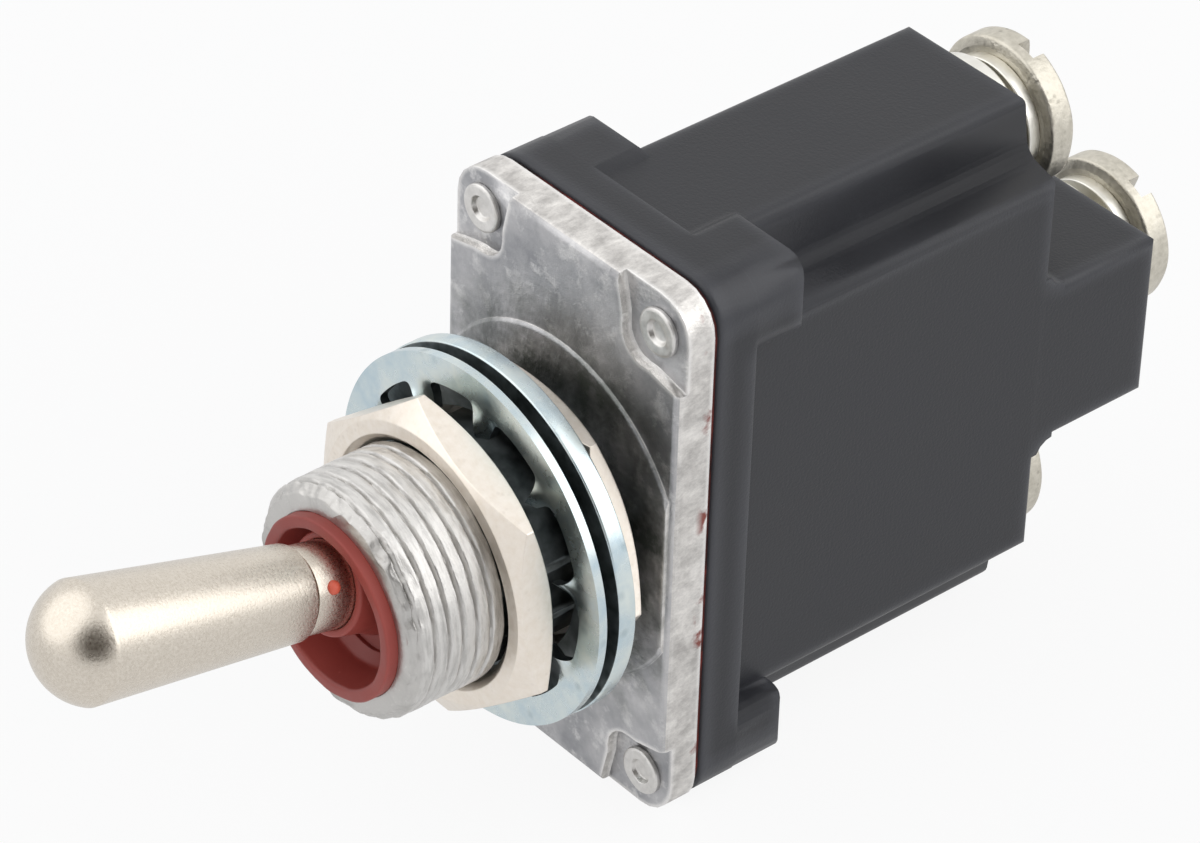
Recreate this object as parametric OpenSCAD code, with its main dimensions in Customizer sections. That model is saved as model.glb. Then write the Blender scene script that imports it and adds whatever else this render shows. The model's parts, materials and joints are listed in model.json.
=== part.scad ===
// Sealed panel toggle switch: one pole, two lever positions, three screw terminals.
// X is the thin way across the switch, Z its long way, and the lever points along -Y.
// The origin is on the bushing axis, in the front face of the mounting flange's raised pad.

/* [Bushing] */
// Major radius of the thread, 15/32 inch
thread_r = 5.953; // [5.8:0.01:6.1]
// Radius of the bushing under the nuts, at the thread's root
seat_r = 5.5; // [5.4:0.01:5.6]
// Length of the bushing in front of the flange pad
bushing_len = 12.6; // [11.8:0.1:14]
// Chamfer round the bushing's mouth
mouth_chamfer = 0.6; // [0.2:0.05:0.8]
// Width of the keyway down the side of the thread
keyway_w = 2.4; // [1.8:0.1:2.8]
// Depth of the keyway below the thread's crest
keyway_depth = 0.95; // [0.6:0.05:1.05]
// How far the keyway runs on past the front nut
keyway_past_nut = 0.7; // [0.3:0.1:1.5]

/* [Flange] */
// Width of the flange
flange_w = 16; // [15.4:0.1:16.8]
// Length of the flange
flange_len = 29; // [28.4:0.1:30]
// Thickness of the flange plate
flange_t = 2.05; // [1.8:0.05:2.6]
// Radius of the flange's corners
flange_corner_r = 2; // [1.4:0.1:2.3]
// Rounding of the flange's front edge
flange_edge_r = 0.4; // [0.2:0.05:0.5]
// Radius of the raised pad round the bushing
pad_r = 8.8; // [8.2:0.1:9.2]
// Height of the raised pad
pad_h = 0.2; // [0.1:0.05:0.4]
// Depth of the pockets round the rivets
pocket_depth = 0.55; // [0.3:0.05:0.7]
// Radius of the pockets round the rivets
pocket_r = 1.95; // [1.7:0.05:2.2]
// Thickness of the gasket behind the flange
gasket_t = 0.35; // [0.3:0.05:0.7]
// How far the gasket's edge stands inside the flange's outline
gasket_inset = 0.25; // [0.1:0.05:0.4]

/* [Rivets] */
// Distance of the rivets from the flange's long edges
rivet_inset_x = 1.9; // [1.8:0.05:2]
// Distance of the rivets from the flange's short edges
rivet_inset_z = 2; // [1.9:0.05:2.1]
// Radius of the rolled head
rivet_head_r = 1.2; // [1.1:0.02:1.4]
// Thickness of the rolled head
rivet_head_t = 0.28; // [0.24:0.02:0.4]
// Radius of the rivet's tube
rivet_tube_r = 0.9; // [0.8:0.02:0.95]
// Radius of the hole through the rivet
rivet_hole_r = 0.55; // [0.4:0.05:0.65]

/* [Case] */
// How far the case's front block stands inside the flange's outline
case_inset = 0.05; // [0:0.05:0.3]
// Depth of the case's front block
shoulder_t = 2.35; // [1.8:0.05:3]
// Depth of the four corner bosses, from the case's front
boss_depth = 5.15; // [4.5:0.05:5.6]
// Height of the corner bosses along the switch
boss_h = 4.2; // [3.9:0.05:4.5]
// Length of the ramp from each corner boss down to the body's end
boss_ramp = 0.75; // [0.5:0.05:1]
// Half-width of the narrow top and bottom of the body
narrow_half = 3.95; // [3.7:0.05:4.2]
// Step from the flange's long edge in to the body's side
side_step = 1.4; // [1.1:0.05:1.6]
// Step from the flange's short edge in to the body's top and bottom
end_step = 0.45; // [0.3:0.05:0.6]
// Drop from the flange's short edge to the body's ledge
ledge_drop = 4.05; // [3.7:0.05:4.4]
// Rise of the ledge from its outer edge to the narrow part
ledge_rise = 0.65; // [0.3:0.05:0.9]
// Fillet where the ledge meets the narrow part
ledge_fillet = 1.2; // [0.8:0.1:1.4]
// Depth of the body from the case's front to its back
body_depth = 22.1; // [21.2:0.1:23.5]
// Half-height of the middle terminal's block
block_half = 4.5; // [4.1:0.1:4.9]
// How far the middle terminal's block stands out of the body
block_len = 7.1; // [6.4:0.1:8]
// Fillet where the middle terminal's block meets the body
block_fillet = 1; // [0.5:0.1:1.5]
// Rounding of the case's moulded edges
case_edge_r = 0.5; // [0.3:0.05:0.6]

/* [Hardware] */
// Width of the hex nuts across their flats
nut_af = 14.3; // [13.8:0.1:15]
// Thickness of the hex nuts
nut_t = 1.92; // [1.76:0.02:2.04]
// Angle of the front nut's first corner
front_nut_turn = 38.5; // [0:0.5:60]
// Angle of the rear nut's first corner
rear_nut_turn = 54.3; // [0:0.5:60]
// Gap between the flange's pad and the rear nut
rear_nut_gap = 0.9; // [0.5:0.1:1.5]
// Outer radius of the tooth washer and the locking ring
washer_r = 9.15; // [8.6:0.05:9.4]
// Thickness of the locking ring
ring_t = 0.95; // [0.8:0.05:1.1]
// Thickness of the tooth washer's rim
rim_t = 0.85; // [0.7:0.05:0.9]
// Gap between the locking ring and the tooth washer's rim
rim_gap = 0.3; // [0.2:0.05:0.4]
// Gap between the tooth washer's rim and the front nut
tooth_gap = 0.9; // [0.8:0.05:1]
// Width of the tooth washer's rim
rim_w = 1.75; // [1.5:0.05:1.9]
// Width of each tooth
tooth_w = 2; // [1.6:0.1:2.4]
// Thickness of each tooth
tooth_t = 0.7; // [0.5:0.05:0.8]
// Number of teeth
teeth = 10; // [9:1:11]
// Angle of the first tooth
tooth_turn = 2; // [0:1:36]

/* [Lever] */
// Lever angle above the bushing axis
lever_tilt = 14; // [12:0.5:14]
// Distance of the lever's pivot in front of the flange's pad
pivot_y = 7.4; // [7.2:0.05:7.5]
// Distance from the pivot to the bat's back end
bat_start = 7.4; // [7.2:0.1:8.5]
// Distance from the pivot to the middle of the round tip
tip_reach = 18.9; // [16:0.1:21]
// Radius of the lever's round tip
tip_r = 2.84; // [2.6:0.02:3.2]
// Radius of the bat at its back end
bat_r = 2.22; // [2.1:0.02:2.5]
// Radius of the lever's neck
neck_r = 1.82; // [1.7:0.02:1.85]
// Radius of the ball at the pivot
ball_r = 2.6; // [2.5:0.02:2.65]
// Radius of the lever's tail
tail_r = 1.9; // [1.8:0.02:1.92]
// Distance from the pivot to the end of the tail
tail_len = 13; // [12.6:0.1:13.2]
// Radius of the cross pin
pin_r = 0.75; // [0.6:0.01:0.8]

/* [Seal] */
// Radius of the pocket that the seal fills
seal_r = 4.53; // [4.5:0.01:4.6]
// Thickness of the seal's outer ring
seal_wall = 0.93; // [0.8:0.01:0.95]
// Depth of the open trough in the seal
trough_depth = 2.2; // [1.6:0.05:2.3]
// Radius of the seal's collar round the lever's neck
collar_r = 2.42; // [2.3:0.02:2.5]

/* [Plunger] */
// Radius of the spring plunger
plunger_r = 1.2; // [1.1:0.01:1.25]
// How far the plunger's tip stands out of the tail
plunger_out = 2.8; // [2.6:0.05:3]
// Length of the plunger
plunger_len = 6.3; // [5.8:0.1:6.5]
// Stroke left behind the plunger for its spring
spring_room = 2.6; // [2.4:0.1:2.8]
// Thickness of the spring's wire
spring_wire = 0.3; // [0.2:0.02:0.34]
// Turns of the spring
spring_turns = 4; // [3:0.5:5]

/* [Contacts] */
// Rocker angle when one side is closed
rocker_tilt = 7; // [6:0.5:7]
// Distance of the rocker's pin behind the flange's pad
rocker_y = 11.6; // [11.5:0.1:12]
// Thickness of the rocker's copper strip
strip_t = 0.8; // [0.6:0.05:0.9]
// Half-width of the rocker's strip
strip_half = 1.9; // [1.6:0.05:1.95]
// Distance of the contact buttons from the rocker's middle
contact_z = 5.6; // [5.4:0.05:5.8]
// Radius of the contact buttons
button_r = 1.3; // [1.1:0.05:1.4]
// Thickness of the contact buttons
button_t = 0.7; // [0.5:0.05:0.8]
// Radius of the rocker's pin
rocker_pin_r = 0.5; // [0.4:0.01:0.55]

/* [Terminals] */
// Distance of the outer terminals from the flange's short edges
terminal_inset = 4.4; // [4.3:0.05:4.5]
// Radius of the terminals' round plates
plate_r = 3.55; // [3.3:0.05:3.6]
// Thickness of the terminals' round plates
plate_t = 0.95; // [0.7:0.05:1.1]
// Radius of the terminals' stems
stem_r = 2.4; // [2.2:0.05:2.5]
// Radius of the screws' shanks, 6-32 inch
shank_r = 1.7; // [1.6:0.02:1.75]
// Length of the screws' shanks
shank_len = 9; // [7:0.5:10]
// Radius of the screws' heads
screw_head_r = 3.72; // [3.4:0.02:3.75]
// Height of the screws' heads
screw_head_h = 2.2; // [1.8:0.05:2.6]
// Thickness of the lock washers under the heads
lock_t = 0.7; // [0.5:0.05:1]
// Gap that the slack screws leave above the plates
slack_gap = 0.5; // [0.2:0.05:0.8]
// How much further the middle screw is backed out
middle_slack = 0.4; // [0:0.1:0.8]
// Angle of the slots in the screws' heads
slot_turn = 70; // [0:5:175]
// Depth of the slots
slot_depth = 1.5; // [1.2:0.05:1.6]

/* [Hidden] */
$fn = 64;
run_gap = 0.05;    // radial clearance of a running fit
slide_gap = 0.2;   // radial clearance of a washer on the bushing
lie_gap = 0.02;    // gap between faces that lie on each other
mould_gap = 0.03;  // gap between a moulded-in piece and its bed

// Places that follow the flange's outline
rivet_x = flange_w / 2 - rivet_inset_x;
rivet_z = flange_len / 2 - rivet_inset_z;
body_half = flange_w / 2 - side_step;
body_reach = flange_len / 2 - end_step;
ledge_z = flange_len / 2 - ledge_drop;
terminal_z = flange_len / 2 - terminal_inset;

// Stations along the bushing, measured forward from the pad's face
pad_y = pad_h;                              // the flange plate starts this far back
flange_back = pad_h + flange_t;
case_front = flange_back + gasket_t;
case_back = case_front + body_depth;
block_back = case_back + block_len;
boss_back = case_front + boss_depth;
rear_nut_f = rear_nut_gap;
ring_f = rear_nut_f + nut_t + lie_gap;
rim_f = ring_f + ring_t + rim_gap;
front_nut_f = rim_f + rim_t + tooth_gap;
keyway_end = front_nut_f + nut_t + keyway_past_nut;
free_thread_f = front_nut_f + nut_t + 0.1;  // the thread is free in front of here
bore_nut = seat_r + run_gap;
bore_washer = thread_r + slide_gap / 2;
key_r = thread_r - keyway_depth;

// The bushing's bore, from the mouth back to the flange
seal_floor_f = pivot_y + 1.95;
shoulder_f = pivot_y - pin_r - run_gap;
shoulder_r = ball_r + 0.15;
sleeve_r = 4.3;
sleeve_back_f = 0.9;
sleeve_inner_back = tail_r + (pivot_y - sleeve_back_f) * tan(lever_tilt) + 0.28;
flange_bore = tail_r + (pivot_y + flange_back) * tan(lever_tilt) + 0.35;
gasket_bore = flange_bore + 0.4;
pin_half = sleeve_r - 0.1;
collar_end = (bushing_len - pivot_y) / cos(lever_tilt);
web_f = bushing_len - 0.1 - trough_depth;

// The chamber inside the case
wall = 1.7;
chamber_half = body_half - wall;
chamber_reach = ledge_z - 1.5;
slot_half = narrow_half - wall;
slot_reach = terminal_z + stem_r - 0.2;
well_x = 3.6;
well_z = 2.4;

// Stations along the lever, measured back from the pivot
plunger_back = tail_len + plunger_out - plunger_len;
bore_end = plunger_back - spring_room;

// The rocker: its saddle is an arc that the plunger's tip follows with clearance
ball_reach = tail_len + plunger_out - plunger_r;
pin_gap = rocker_y + pivot_y;
path_mid = ball_reach - pin_gap;
path_side = rocker_point(lever_tilt);
path_sag = path_mid - path_side[0];
path_r = (path_side[1] * path_side[1] + path_sag * path_sag) / (2 * path_sag);
saddle_r = path_r + plunger_r + 2 * run_gap;
saddle_c = path_mid - path_r;
saddle_end = 3.9;
arm_y = saddle_c + sqrt(saddle_r * saddle_r - saddle_end * saddle_end);
arm_end = contact_z + button_r + 0.1;
button_back = arm_y + strip_t + button_t;
closed_y = rocker_y + button_back * cos(rocker_tilt) + (contact_z + button_r) * sin(rocker_tilt);
fixed_y = closed_y + run_gap;
foot_y = fixed_y + button_t;
foot_t = 1;
floor_y = foot_y + foot_t;
well_y = rocker_y + 2.4;
ear_x = strip_half + 0.35;
ear_t = 0.8;
lug_t = 0.5;
base_t = 0.8;
knuckle_r = 1;

// Middle of the plunger's round tip as the rocker sees it, for a lever angle
function rocker_point(a) =
    let (b = a * rocker_tilt / lever_tilt)
    let (y = ball_reach * cos(a) - pin_gap, z = ball_reach * sin(a))
    [y * cos(b) - z * sin(b), y * sin(b) + z * cos(b)];

// Rounds each corner [x, z, radius] of an outline with an arc of a few short sides
function rounded(pts, steps = 5) = [
    for (i = [0 : len(pts) - 1])
        let (n = len(pts), p = pts[i], a = pts[(i + n - 1) % n], b = pts[(i + 1) % n])
        let (u = unit2(a - p), v = unit2(b - p))
        let (half = acos(u * v) / 2, bis = unit2([u[0] + v[0], u[1] + v[1], 0]))
        let (c = [p[0], p[1]] + bis * (p[2] / sin(half)))
        let (turn = sign(u[0] * v[1] - u[1] * v[0]) * (90 - half), mid = atan2(-bis[1], -bis[0]))
        each p[2] == 0 ? [[p[0], p[1]]] : [
            for (k = [-steps : 2 : steps])
                c + p[2] * [cos(mid - turn * k / steps), sin(mid - turn * k / steps)]]
];

function unit2(v) = [v[0], v[1]] / norm([v[0], v[1]]);

// A quarter outline [x, z, radius] completed by mirror images, in order round the shape
function four_way(q) = concat(
    q,
    [for (i = [len(q) - 1 : -1 : 0]) [q[i][0], -q[i][1], q[i][2]]],
    [for (p = q) [-p[0], -p[1], p[2]]],
    [for (i = [len(q) - 1 : -1 : 0]) [-q[i][0], q[i][1], q[i][2]]]);

// Outlines [x, z] across the switch
function box_outline(hx, hz, r) = rounded(four_way([[hx, hz, r]]));

function body_outline() = rounded(four_way([
    [narrow_half, body_reach, 0.6],
    [narrow_half + 0.4, ledge_z + ledge_rise, ledge_fillet],
    [body_half, ledge_z, 0.6]]));

// Outline [y, h] of a block of half-height h, seen along its edges, with its end at y1 rounded
function end_profile(h, y0, y1, r) =
    rounded([[y0, -h - lie_gap, 0], [y1, -h - lie_gap, r], [y1, h + lie_gap, r], [y0, h + lie_gap, 0]]);

// Spans y0 to y1 with a flat outline drawn in X and Z
module slab(y0, y1) {
    translate([0, y1, 0]) rotate([90, 0, 0]) linear_extrude(y1 - y0) children();
}

// Turns a profile of [radius, distance forward] round the bushing axis
module turned() {
    rotate([90, 0, 0]) rotate_extrude() children();
}

// A disc or hole on the bushing axis, between two distances forward
module disc(f0, f1, r) {
    translate([0, -f0, 0]) rotate([90, 0, 0]) cylinder(h = f1 - f0, r = r);
}

// Extrudes an outline of [y, z] across the switch, from x0 to x1
module across_x(x0, x1) {
    translate([x0, 0, 0]) multmatrix([[0, 0, 1, 0], [1, 0, 0, 0], [0, 1, 0, 0], [0, 0, 0, 1]])
        linear_extrude(x1 - x0) children();
}

// Keeps what lies inside the rounded end of a block of half-width hx and half-height hz
module round_end(hx, hz, y0, y1, r) {
    intersection() {
        children();
        across_x(-hx - 1, hx + 1) polygon(end_profile(hz, y0, y1, r));
        translate([0, 0, -hz - 1]) linear_extrude(2 * hz + 2)
            polygon([for (p = end_profile(hx, y0, y1, r)) [p[1], p[0]]]);
    }
}

module at_corners() {
    for (sx = [-1, 1], sz = [-1, 1]) translate([sx * rivet_x, 0, sz * rivet_z]) children();
}

// ---------------------------------------------------------------- case

module bosses(hx, hz) {
    inner = narrow_half - 1.25;
    corner = rounded([
        [inner, hz - boss_h, 0], [hx, hz - boss_h, 1], [hx, hz, flange_corner_r],
        [inner + boss_ramp, hz, 0.3], [inner, body_reach - 0.1, 0]]);
    slab(case_front + 0.5, boss_back) for (sx = [-1, 1], sz = [-1, 1])
        polygon([for (p = corner) [sx * p[0], sz * p[1]]]);
}

// The middle terminal's block, with fillets where it rises from the body
module middle_block() {
    hx = body_half - lie_gap;
    flare = concat(
        [[case_back - 1, block_half + 0.7 * block_fillet]],
        [for (a = [20, 45, 70])
            [case_back + block_fillet * (1 - cos(a)), block_half + block_fillet * (1 - sin(a))]],
        [[case_back + block_fillet, block_half]]);
    round_end(hx, block_half, case_back - 2, block_back, case_edge_r) slab(case_back - 1, block_back)
        polygon(box_outline(hx, block_half, 0.45));
    across_x(-hx, hx)
        polygon(concat(flare, [for (i = [len(flare) - 1 : -1 : 0]) [flare[i][0], -flare[i][1]]]));
}

module case_shell() {
    hx = flange_w / 2 - case_inset;
    hz = flange_len / 2 - case_inset;
    shoulder_back = case_front + shoulder_t;
    round_end(hx, hz, case_front - 1, shoulder_back, case_edge_r / 2)
        slab(case_front, shoulder_back) polygon(box_outline(hx, hz, flange_corner_r));
    round_end(body_half, body_reach, case_front, case_back, case_edge_r)
        slab(case_front + 1, case_back) polygon(body_outline());
    round_end(hx - lie_gap, hz - lie_gap, case_front, boss_back, case_edge_r)
        bosses(hx - lie_gap, hz - lie_gap);
    middle_block();
}

module case() {
    color([0.17, 0.17, 0.18]) difference() {
        case_shell();
        slab(case_front - 1, floor_y) square([2 * chamber_half, 2 * chamber_reach], center = true);
        slab(case_front - 1, floor_y) square([2 * slot_half, 2 * slot_reach], center = true);
        slab(floor_y - 1, well_y) square([2 * well_x, 2 * well_z], center = true);
        for (s = [-1, 1]) translate([0, 0, s * terminal_z])
            disc(-case_back - 1, -floor_y + 1, stem_r + mould_gap);
        disc(-block_back - 1, -well_y + 1, stem_r + mould_gap);
        at_corners() disc(-boss_back - 1, -case_front + 1, rivet_tube_r + run_gap);
    }
}

// ---------------------------------------------------------------- flange

// A pocket round one rivet that opens in a soft curve to the flange's two edges
module flange_pocket(sx, sz) {
    x0 = rivet_x - pocket_r;
    z0 = rivet_z - pocket_r;
    out = flange_len;
    mouth = 0.45;
    edge = rounded([
        [x0 - mouth, out, 0], [x0 - mouth, flange_len / 2, 0.4], [x0, rivet_z, 1.6],
        [x0, z0, pocket_r * 0.7], [rivet_x, z0, 1.6], [flange_w / 2, z0 - mouth, 0], [out, z0 - mouth, 0],
        [out, out, 0]]);
    slab(-1, pad_y + pocket_depth) polygon([for (p = edge) [sx * p[0], sz * p[1]]]);
}

module mounting_flange() {
    hx = flange_w / 2;
    hz = flange_len / 2;
    e = flange_edge_r;
    color([0.7, 0.71, 0.73]) difference() {
        union() {
            mirror([0, 1, 0]) round_end(hx, hz, -flange_back - 1, -pad_y, e)
                slab(-flange_back, -pad_y) polygon(box_outline(hx, hz, flange_corner_r));
            intersection() {
                turned() polygon([[0, -pad_y - 1], [pad_r, -pad_y - 1], [pad_r, -0.7 * pad_h],
                    [pad_r - pad_h, 0], [0, 0]]);
                slab(-1, pad_y + 1) square([flange_w - 1.5 * e, flange_len], center = true);
            }
            turned() polygon([[0, -1], [seat_r, -1], [seat_r, free_thread_f], [thread_r, free_thread_f],
                [thread_r, bushing_len - mouth_chamfer], [thread_r - mouth_chamfer, bushing_len],
                [0, bushing_len]]);
        }
        turned() polygon([[0, -flange_back - 1], [flange_bore, -flange_back - 1],
            [flange_bore, -pad_y], [sleeve_r, sleeve_back_f - 0.3], [sleeve_r, shoulder_f],
            [shoulder_r, shoulder_f], [shoulder_r, seal_floor_f], [seal_r, seal_floor_f],
            [seal_r, bushing_len + 1], [0, bushing_len + 1]]);
        // slots across the shoulder that the cross pin lies in
        translate([-pin_half - 0.05, 0, 0]) rotate([0, 90, 0]) linear_extrude(2 * pin_half + 0.1)
            translate([0, -pivot_y]) union() {
                circle(pin_r + run_gap);
                translate([-pin_r - run_gap, 0]) square([2 * (pin_r + run_gap), pin_r + run_gap + 0.01]);
            }
        // keyway
        translate([key_r, -keyway_end, -keyway_w / 2]) cube([2, keyway_end - 0.02, keyway_w]);
        for (sx = [-1, 1], sz = [-1, 1]) flange_pocket(sx, sz);
        at_corners() disc(-flange_back - 1, 1, rivet_tube_r + run_gap);
    }
}

module flange_gasket() {
    color([0.6, 0.16, 0.12]) difference() {
        slab(flange_back, case_front)
            polygon(box_outline(flange_w / 2 - gasket_inset, flange_len / 2 - gasket_inset, flange_corner_r));
        disc(-case_front - 1, 0, gasket_bore);
        at_corners() disc(-case_front - 1, 0, rivet_tube_r + run_gap);
    }
}

module rivet(sx, sz) {
    f = -pad_y - pocket_depth;
    b = -boss_back;
    t = rivet_head_t;
    color([0.78, 0.78, 0.8]) translate([sx * rivet_x, 0, sz * rivet_z]) turned() polygon(concat(
        [[rivet_hole_r, b - t + 0.12], [rivet_hole_r + 0.12, b - t], [rivet_head_r - 0.12, b - t],
            [rivet_head_r, b - t + 0.12], [rivet_head_r, b], [rivet_tube_r, b], [rivet_tube_r, f],
            [rivet_head_r, f]],
        [for (a = [0, 30, 60, 90, 120, 150, 180])
            [(rivet_head_r + rivet_hole_r) / 2 + (rivet_head_r - rivet_hole_r) / 2 * cos(a),
                f + t * 0.4 + t * 0.6 * sin(a)]]));
}

// ---------------------------------------------------------------- hardware on the bushing

module hex_nut(f, turn, sink) {
    across = nut_af / sqrt(3);
    face_r = nut_af / 2 - 0.25;
    edge_r = across + 0.05;
    bevel = (edge_r - face_r) * tan(30);
    color([0.76, 0.72, 0.66]) difference() {
        intersection() {
            translate([0, -f, 0]) rotate([90, 0, 0]) rotate([0, 0, turn])
                cylinder(h = nut_t, r = across, $fn = 6);
            turned() polygon([[0, f], [face_r, f], [edge_r, f + bevel], [edge_r, f + nut_t - bevel],
                [face_r, f + nut_t], [0, f + nut_t]]);
        }
        disc(f - 1, f + nut_t + 1, bore_nut);
        turned() polygon([[0, f + nut_t - sink], [bore_nut, f + nut_t - sink],
            [bore_nut + sink, f + nut_t + 0.01], [0, f + nut_t + 0.01]]);
    }
}

// Each tooth slopes from the locking ring to the front nut
module tooth_washer() {
    root_r = washer_r - rim_w;
    tip = bore_washer + slide_gap / 2;
    back = -ring_f - ring_t - lie_gap;
    front = -front_nut_f + lie_gap;
    color([0.74, 0.78, 0.8]) union() {
        difference() {
            disc(rim_f, rim_f + rim_t, washer_r);
            disc(rim_f - 1, rim_f + rim_t + 1, root_r);
        }
        for (k = [0 : teeth - 1]) rotate([0, -tooth_turn - k * 360 / teeth, 0])
            across_x(tip, root_r + rim_w / 3) polygon([
                [back, -tooth_w / 2], [back - tooth_t, -tooth_w / 2],
                [front, tooth_w / 2], [front + tooth_t, tooth_w / 2]]);
    }
}

module locking_ring() {
    color([0.76, 0.79, 0.78]) difference() {
        disc(ring_f, ring_f + ring_t, washer_r + 0.05);
        difference() {
            disc(ring_f - 1, ring_f + ring_t + 1, bore_washer);
            // tongue that lies in the keyway
            translate([key_r + slide_gap, -ring_f - ring_t - 2, -keyway_w / 2 + 0.1])
                cube([3, ring_t + 4, keyway_w - 0.2]);
        }
    }
}

// ---------------------------------------------------------------- lever

// Places children drawn along the lever, with the pivot as their origin, at the lever's angle
module on_lever() {
    translate([0, -pivot_y, 0]) rotate([-lever_tilt, 0, 0]) children();
}

module lever() {
    neck_f = sqrt(ball_r * ball_r - neck_r * neck_r);
    tail_f = -sqrt(ball_r * ball_r - tail_r * tail_r);
    a0 = atan2(neck_f, neck_r);
    a1 = atan2(tail_f, tail_r);
    lean = asin((tip_r - bat_r) / (tip_reach - bat_start));
    color([0.75, 0.72, 0.67]) on_lever() difference() {
        turned() polygon(concat(
            [[0, -tail_len], [tail_r - 0.25, -tail_len], [tail_r, 0.25 - tail_len]],
            [for (k = [0 : 12]) let (a = a1 + (a0 - a1) * k / 12) ball_r * [cos(a), sin(a)]],
            [[neck_r, bat_start], [bat_r - 0.08, bat_start], [bat_r, bat_start + 0.08]],
            [for (k = [0 : 16]) let (a = -lean + (90 + lean) * k / 16)
                [tip_r * cos(a), tip_reach + tip_r * sin(a)]]));
        disc(-tail_len - 1, -bore_end, plunger_r + run_gap);
        translate([-10, 0, 0]) rotate([0, 90, 0]) cylinder(h = 20, r = pin_r + lie_gap / 2);
    }
}

module lever_pivot_pin() {
    color([0.7, 0.7, 0.72]) translate([-pin_half, -pivot_y, 0]) rotate([0, 90, 0])
        cylinder(h = 2 * pin_half, r = pin_r);
}

module pivot_retainer() {
    color([0.72, 0.62, 0.35]) turned() polygon([
        [sleeve_inner_back, sleeve_back_f], [sleeve_r - lie_gap, sleeve_back_f],
        [sleeve_r - lie_gap, shoulder_f - lie_gap], [shoulder_r + 0.1, shoulder_f - lie_gap]]);
}

module lever_seal() {
    inner = seal_r - seal_wall;
    front = bushing_len - 0.1;
    color([0.62, 0.16, 0.12]) difference() {
        union() {
            turned() polygon([[0, seal_floor_f + lie_gap], [seal_r - lie_gap, seal_floor_f + lie_gap],
                [seal_r - lie_gap, front], [inner, front], [inner, web_f + 0.4], [inner - 0.4, web_f],
                [0, web_f]]);
            intersection() {
                on_lever() disc(1, collar_end, collar_r);
                disc(seal_floor_f + lie_gap, bushing_len + 1, inner + 0.1);
            }
        }
        on_lever() disc(-1, collar_end + 3, neck_r + lie_gap);
        translate([0, -pivot_y, 0]) sphere(r = ball_r + run_gap);
    }
}

// ---------------------------------------------------------------- plunger and its spring

module plunger() {
    tip_f = -tail_len - plunger_out;
    color([0.2, 0.2, 0.2]) on_lever() turned() polygon(concat(
        [for (k = [0 : 9])
            let (a = -90 + 10 * k) [plunger_r * cos(a), tip_f + plunger_r + plunger_r * sin(a)]],
        [[plunger_r, -plunger_back - 0.15], [plunger_r - 0.15, -plunger_back], [0, -plunger_back]]));
}

module plunger_spring() {
    coil_r = plunger_r - spring_wire / 2 - run_gap;
    free_len = spring_room - spring_wire - 2 * run_gap;
    steps = 12 * spring_turns;
    sides = 6;
    ring = [for (i = [0 : steps])
        let (a = i * 30, f = bore_end + spring_wire / 2 + run_gap + free_len * i / steps)
        for (k = [0 : sides - 1]) let (b = k * 360 / sides, r = coil_r + spring_wire / 2 * cos(b))
            [r * cos(a), f + spring_wire / 2 * sin(b), r * sin(a)]];
    color([0.6, 0.6, 0.62]) on_lever() polyhedron(ring, concat(
        [[for (k = [0 : sides - 1]) k]],
        [for (i = [0 : steps - 1]) for (k = [0 : sides - 1])
            [i * sides + k, (i + 1) * sides + k,
                (i + 1) * sides + (k + 1) % sides, i * sides + (k + 1) % sides]],
        [[for (k = [sides - 1 : -1 : 0]) steps * sides + k]]));
}

// ---------------------------------------------------------------- rocker and contacts

// Places children drawn about the rocker's pin, with the rocker level, at its closed angle
module on_rocker() {
    translate([0, rocker_y, 0]) rotate([rocker_tilt, 0, 0]) children();
}

module rocker_contact() {
    half_angle = asin(saddle_end / saddle_r);
    outer_r = saddle_r + strip_t;
    color([0.8, 0.5, 0.32]) on_rocker() difference() {
        union() {
            across_x(-strip_half, strip_half) polygon(concat(
                [[arm_y, -arm_end]],
                [for (k = [-8 : 8])
                    let (a = half_angle * k / 8) [saddle_c + saddle_r * cos(a), saddle_r * sin(a)]],
                [[arm_y, arm_end], [arm_y + strip_t, arm_end]],
                [for (k = [8 : -1 : -8])
                    let (a = half_angle * k / 8) [saddle_c + outer_r * cos(a), outer_r * sin(a)]],
                [[arm_y + strip_t, -arm_end]]));
            for (s = [-1, 1])
                across_x(s * (strip_half - lug_t / 2) - lug_t / 2, s * (strip_half - lug_t / 2) + lug_t / 2) {
                circle(knuckle_r);
                translate([saddle_c + saddle_r + 0.1, -knuckle_r])
                    square([-saddle_c - saddle_r - 0.1, 2 * knuckle_r]);
            }
        }
        translate([-10, 0, 0]) rotate([0, 90, 0]) cylinder(h = 20, r = rocker_pin_r + run_gap);
    }
}

module rocker_pin() {
    color([0.7, 0.7, 0.72]) translate([-ear_x - ear_t, rocker_y, 0]) rotate([0, 90, 0])
        cylinder(h = 2 * (ear_x + ear_t), r = rocker_pin_r);
}

module rocker_support() {
    color([0.78, 0.66, 0.36]) difference() {
        union() {
            slab(well_y - base_t, well_y - lie_gap)
                square([2 * (ear_x + ear_t), 2 * well_z - 0.6], center = true);
            for (s = [-1, 1]) across_x(s > 0 ? ear_x : -ear_x - ear_t, s > 0 ? ear_x + ear_t : -ear_x) {
                translate([rocker_y, 0]) circle(knuckle_r);
                translate([rocker_y, -knuckle_r]) square([well_y - base_t / 2 - rocker_y, 2 * knuckle_r]);
            }
        }
        translate([-10, rocker_y, 0]) rotate([0, 90, 0]) cylinder(h = 20, r = rocker_pin_r + lie_gap / 2);
    }
}

module moving_contact(s) {
    y0 = arm_y + strip_t;
    color([0.82, 0.82, 0.84]) on_rocker() translate([0, 0, s * contact_z]) turned() polygon([
        [0, -y0 - button_t], [button_r - 0.2, -y0 - button_t], [button_r, -y0 - button_t + 0.2],
        [button_r, -y0 - lie_gap], [0, -y0 - lie_gap]]);
}

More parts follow.
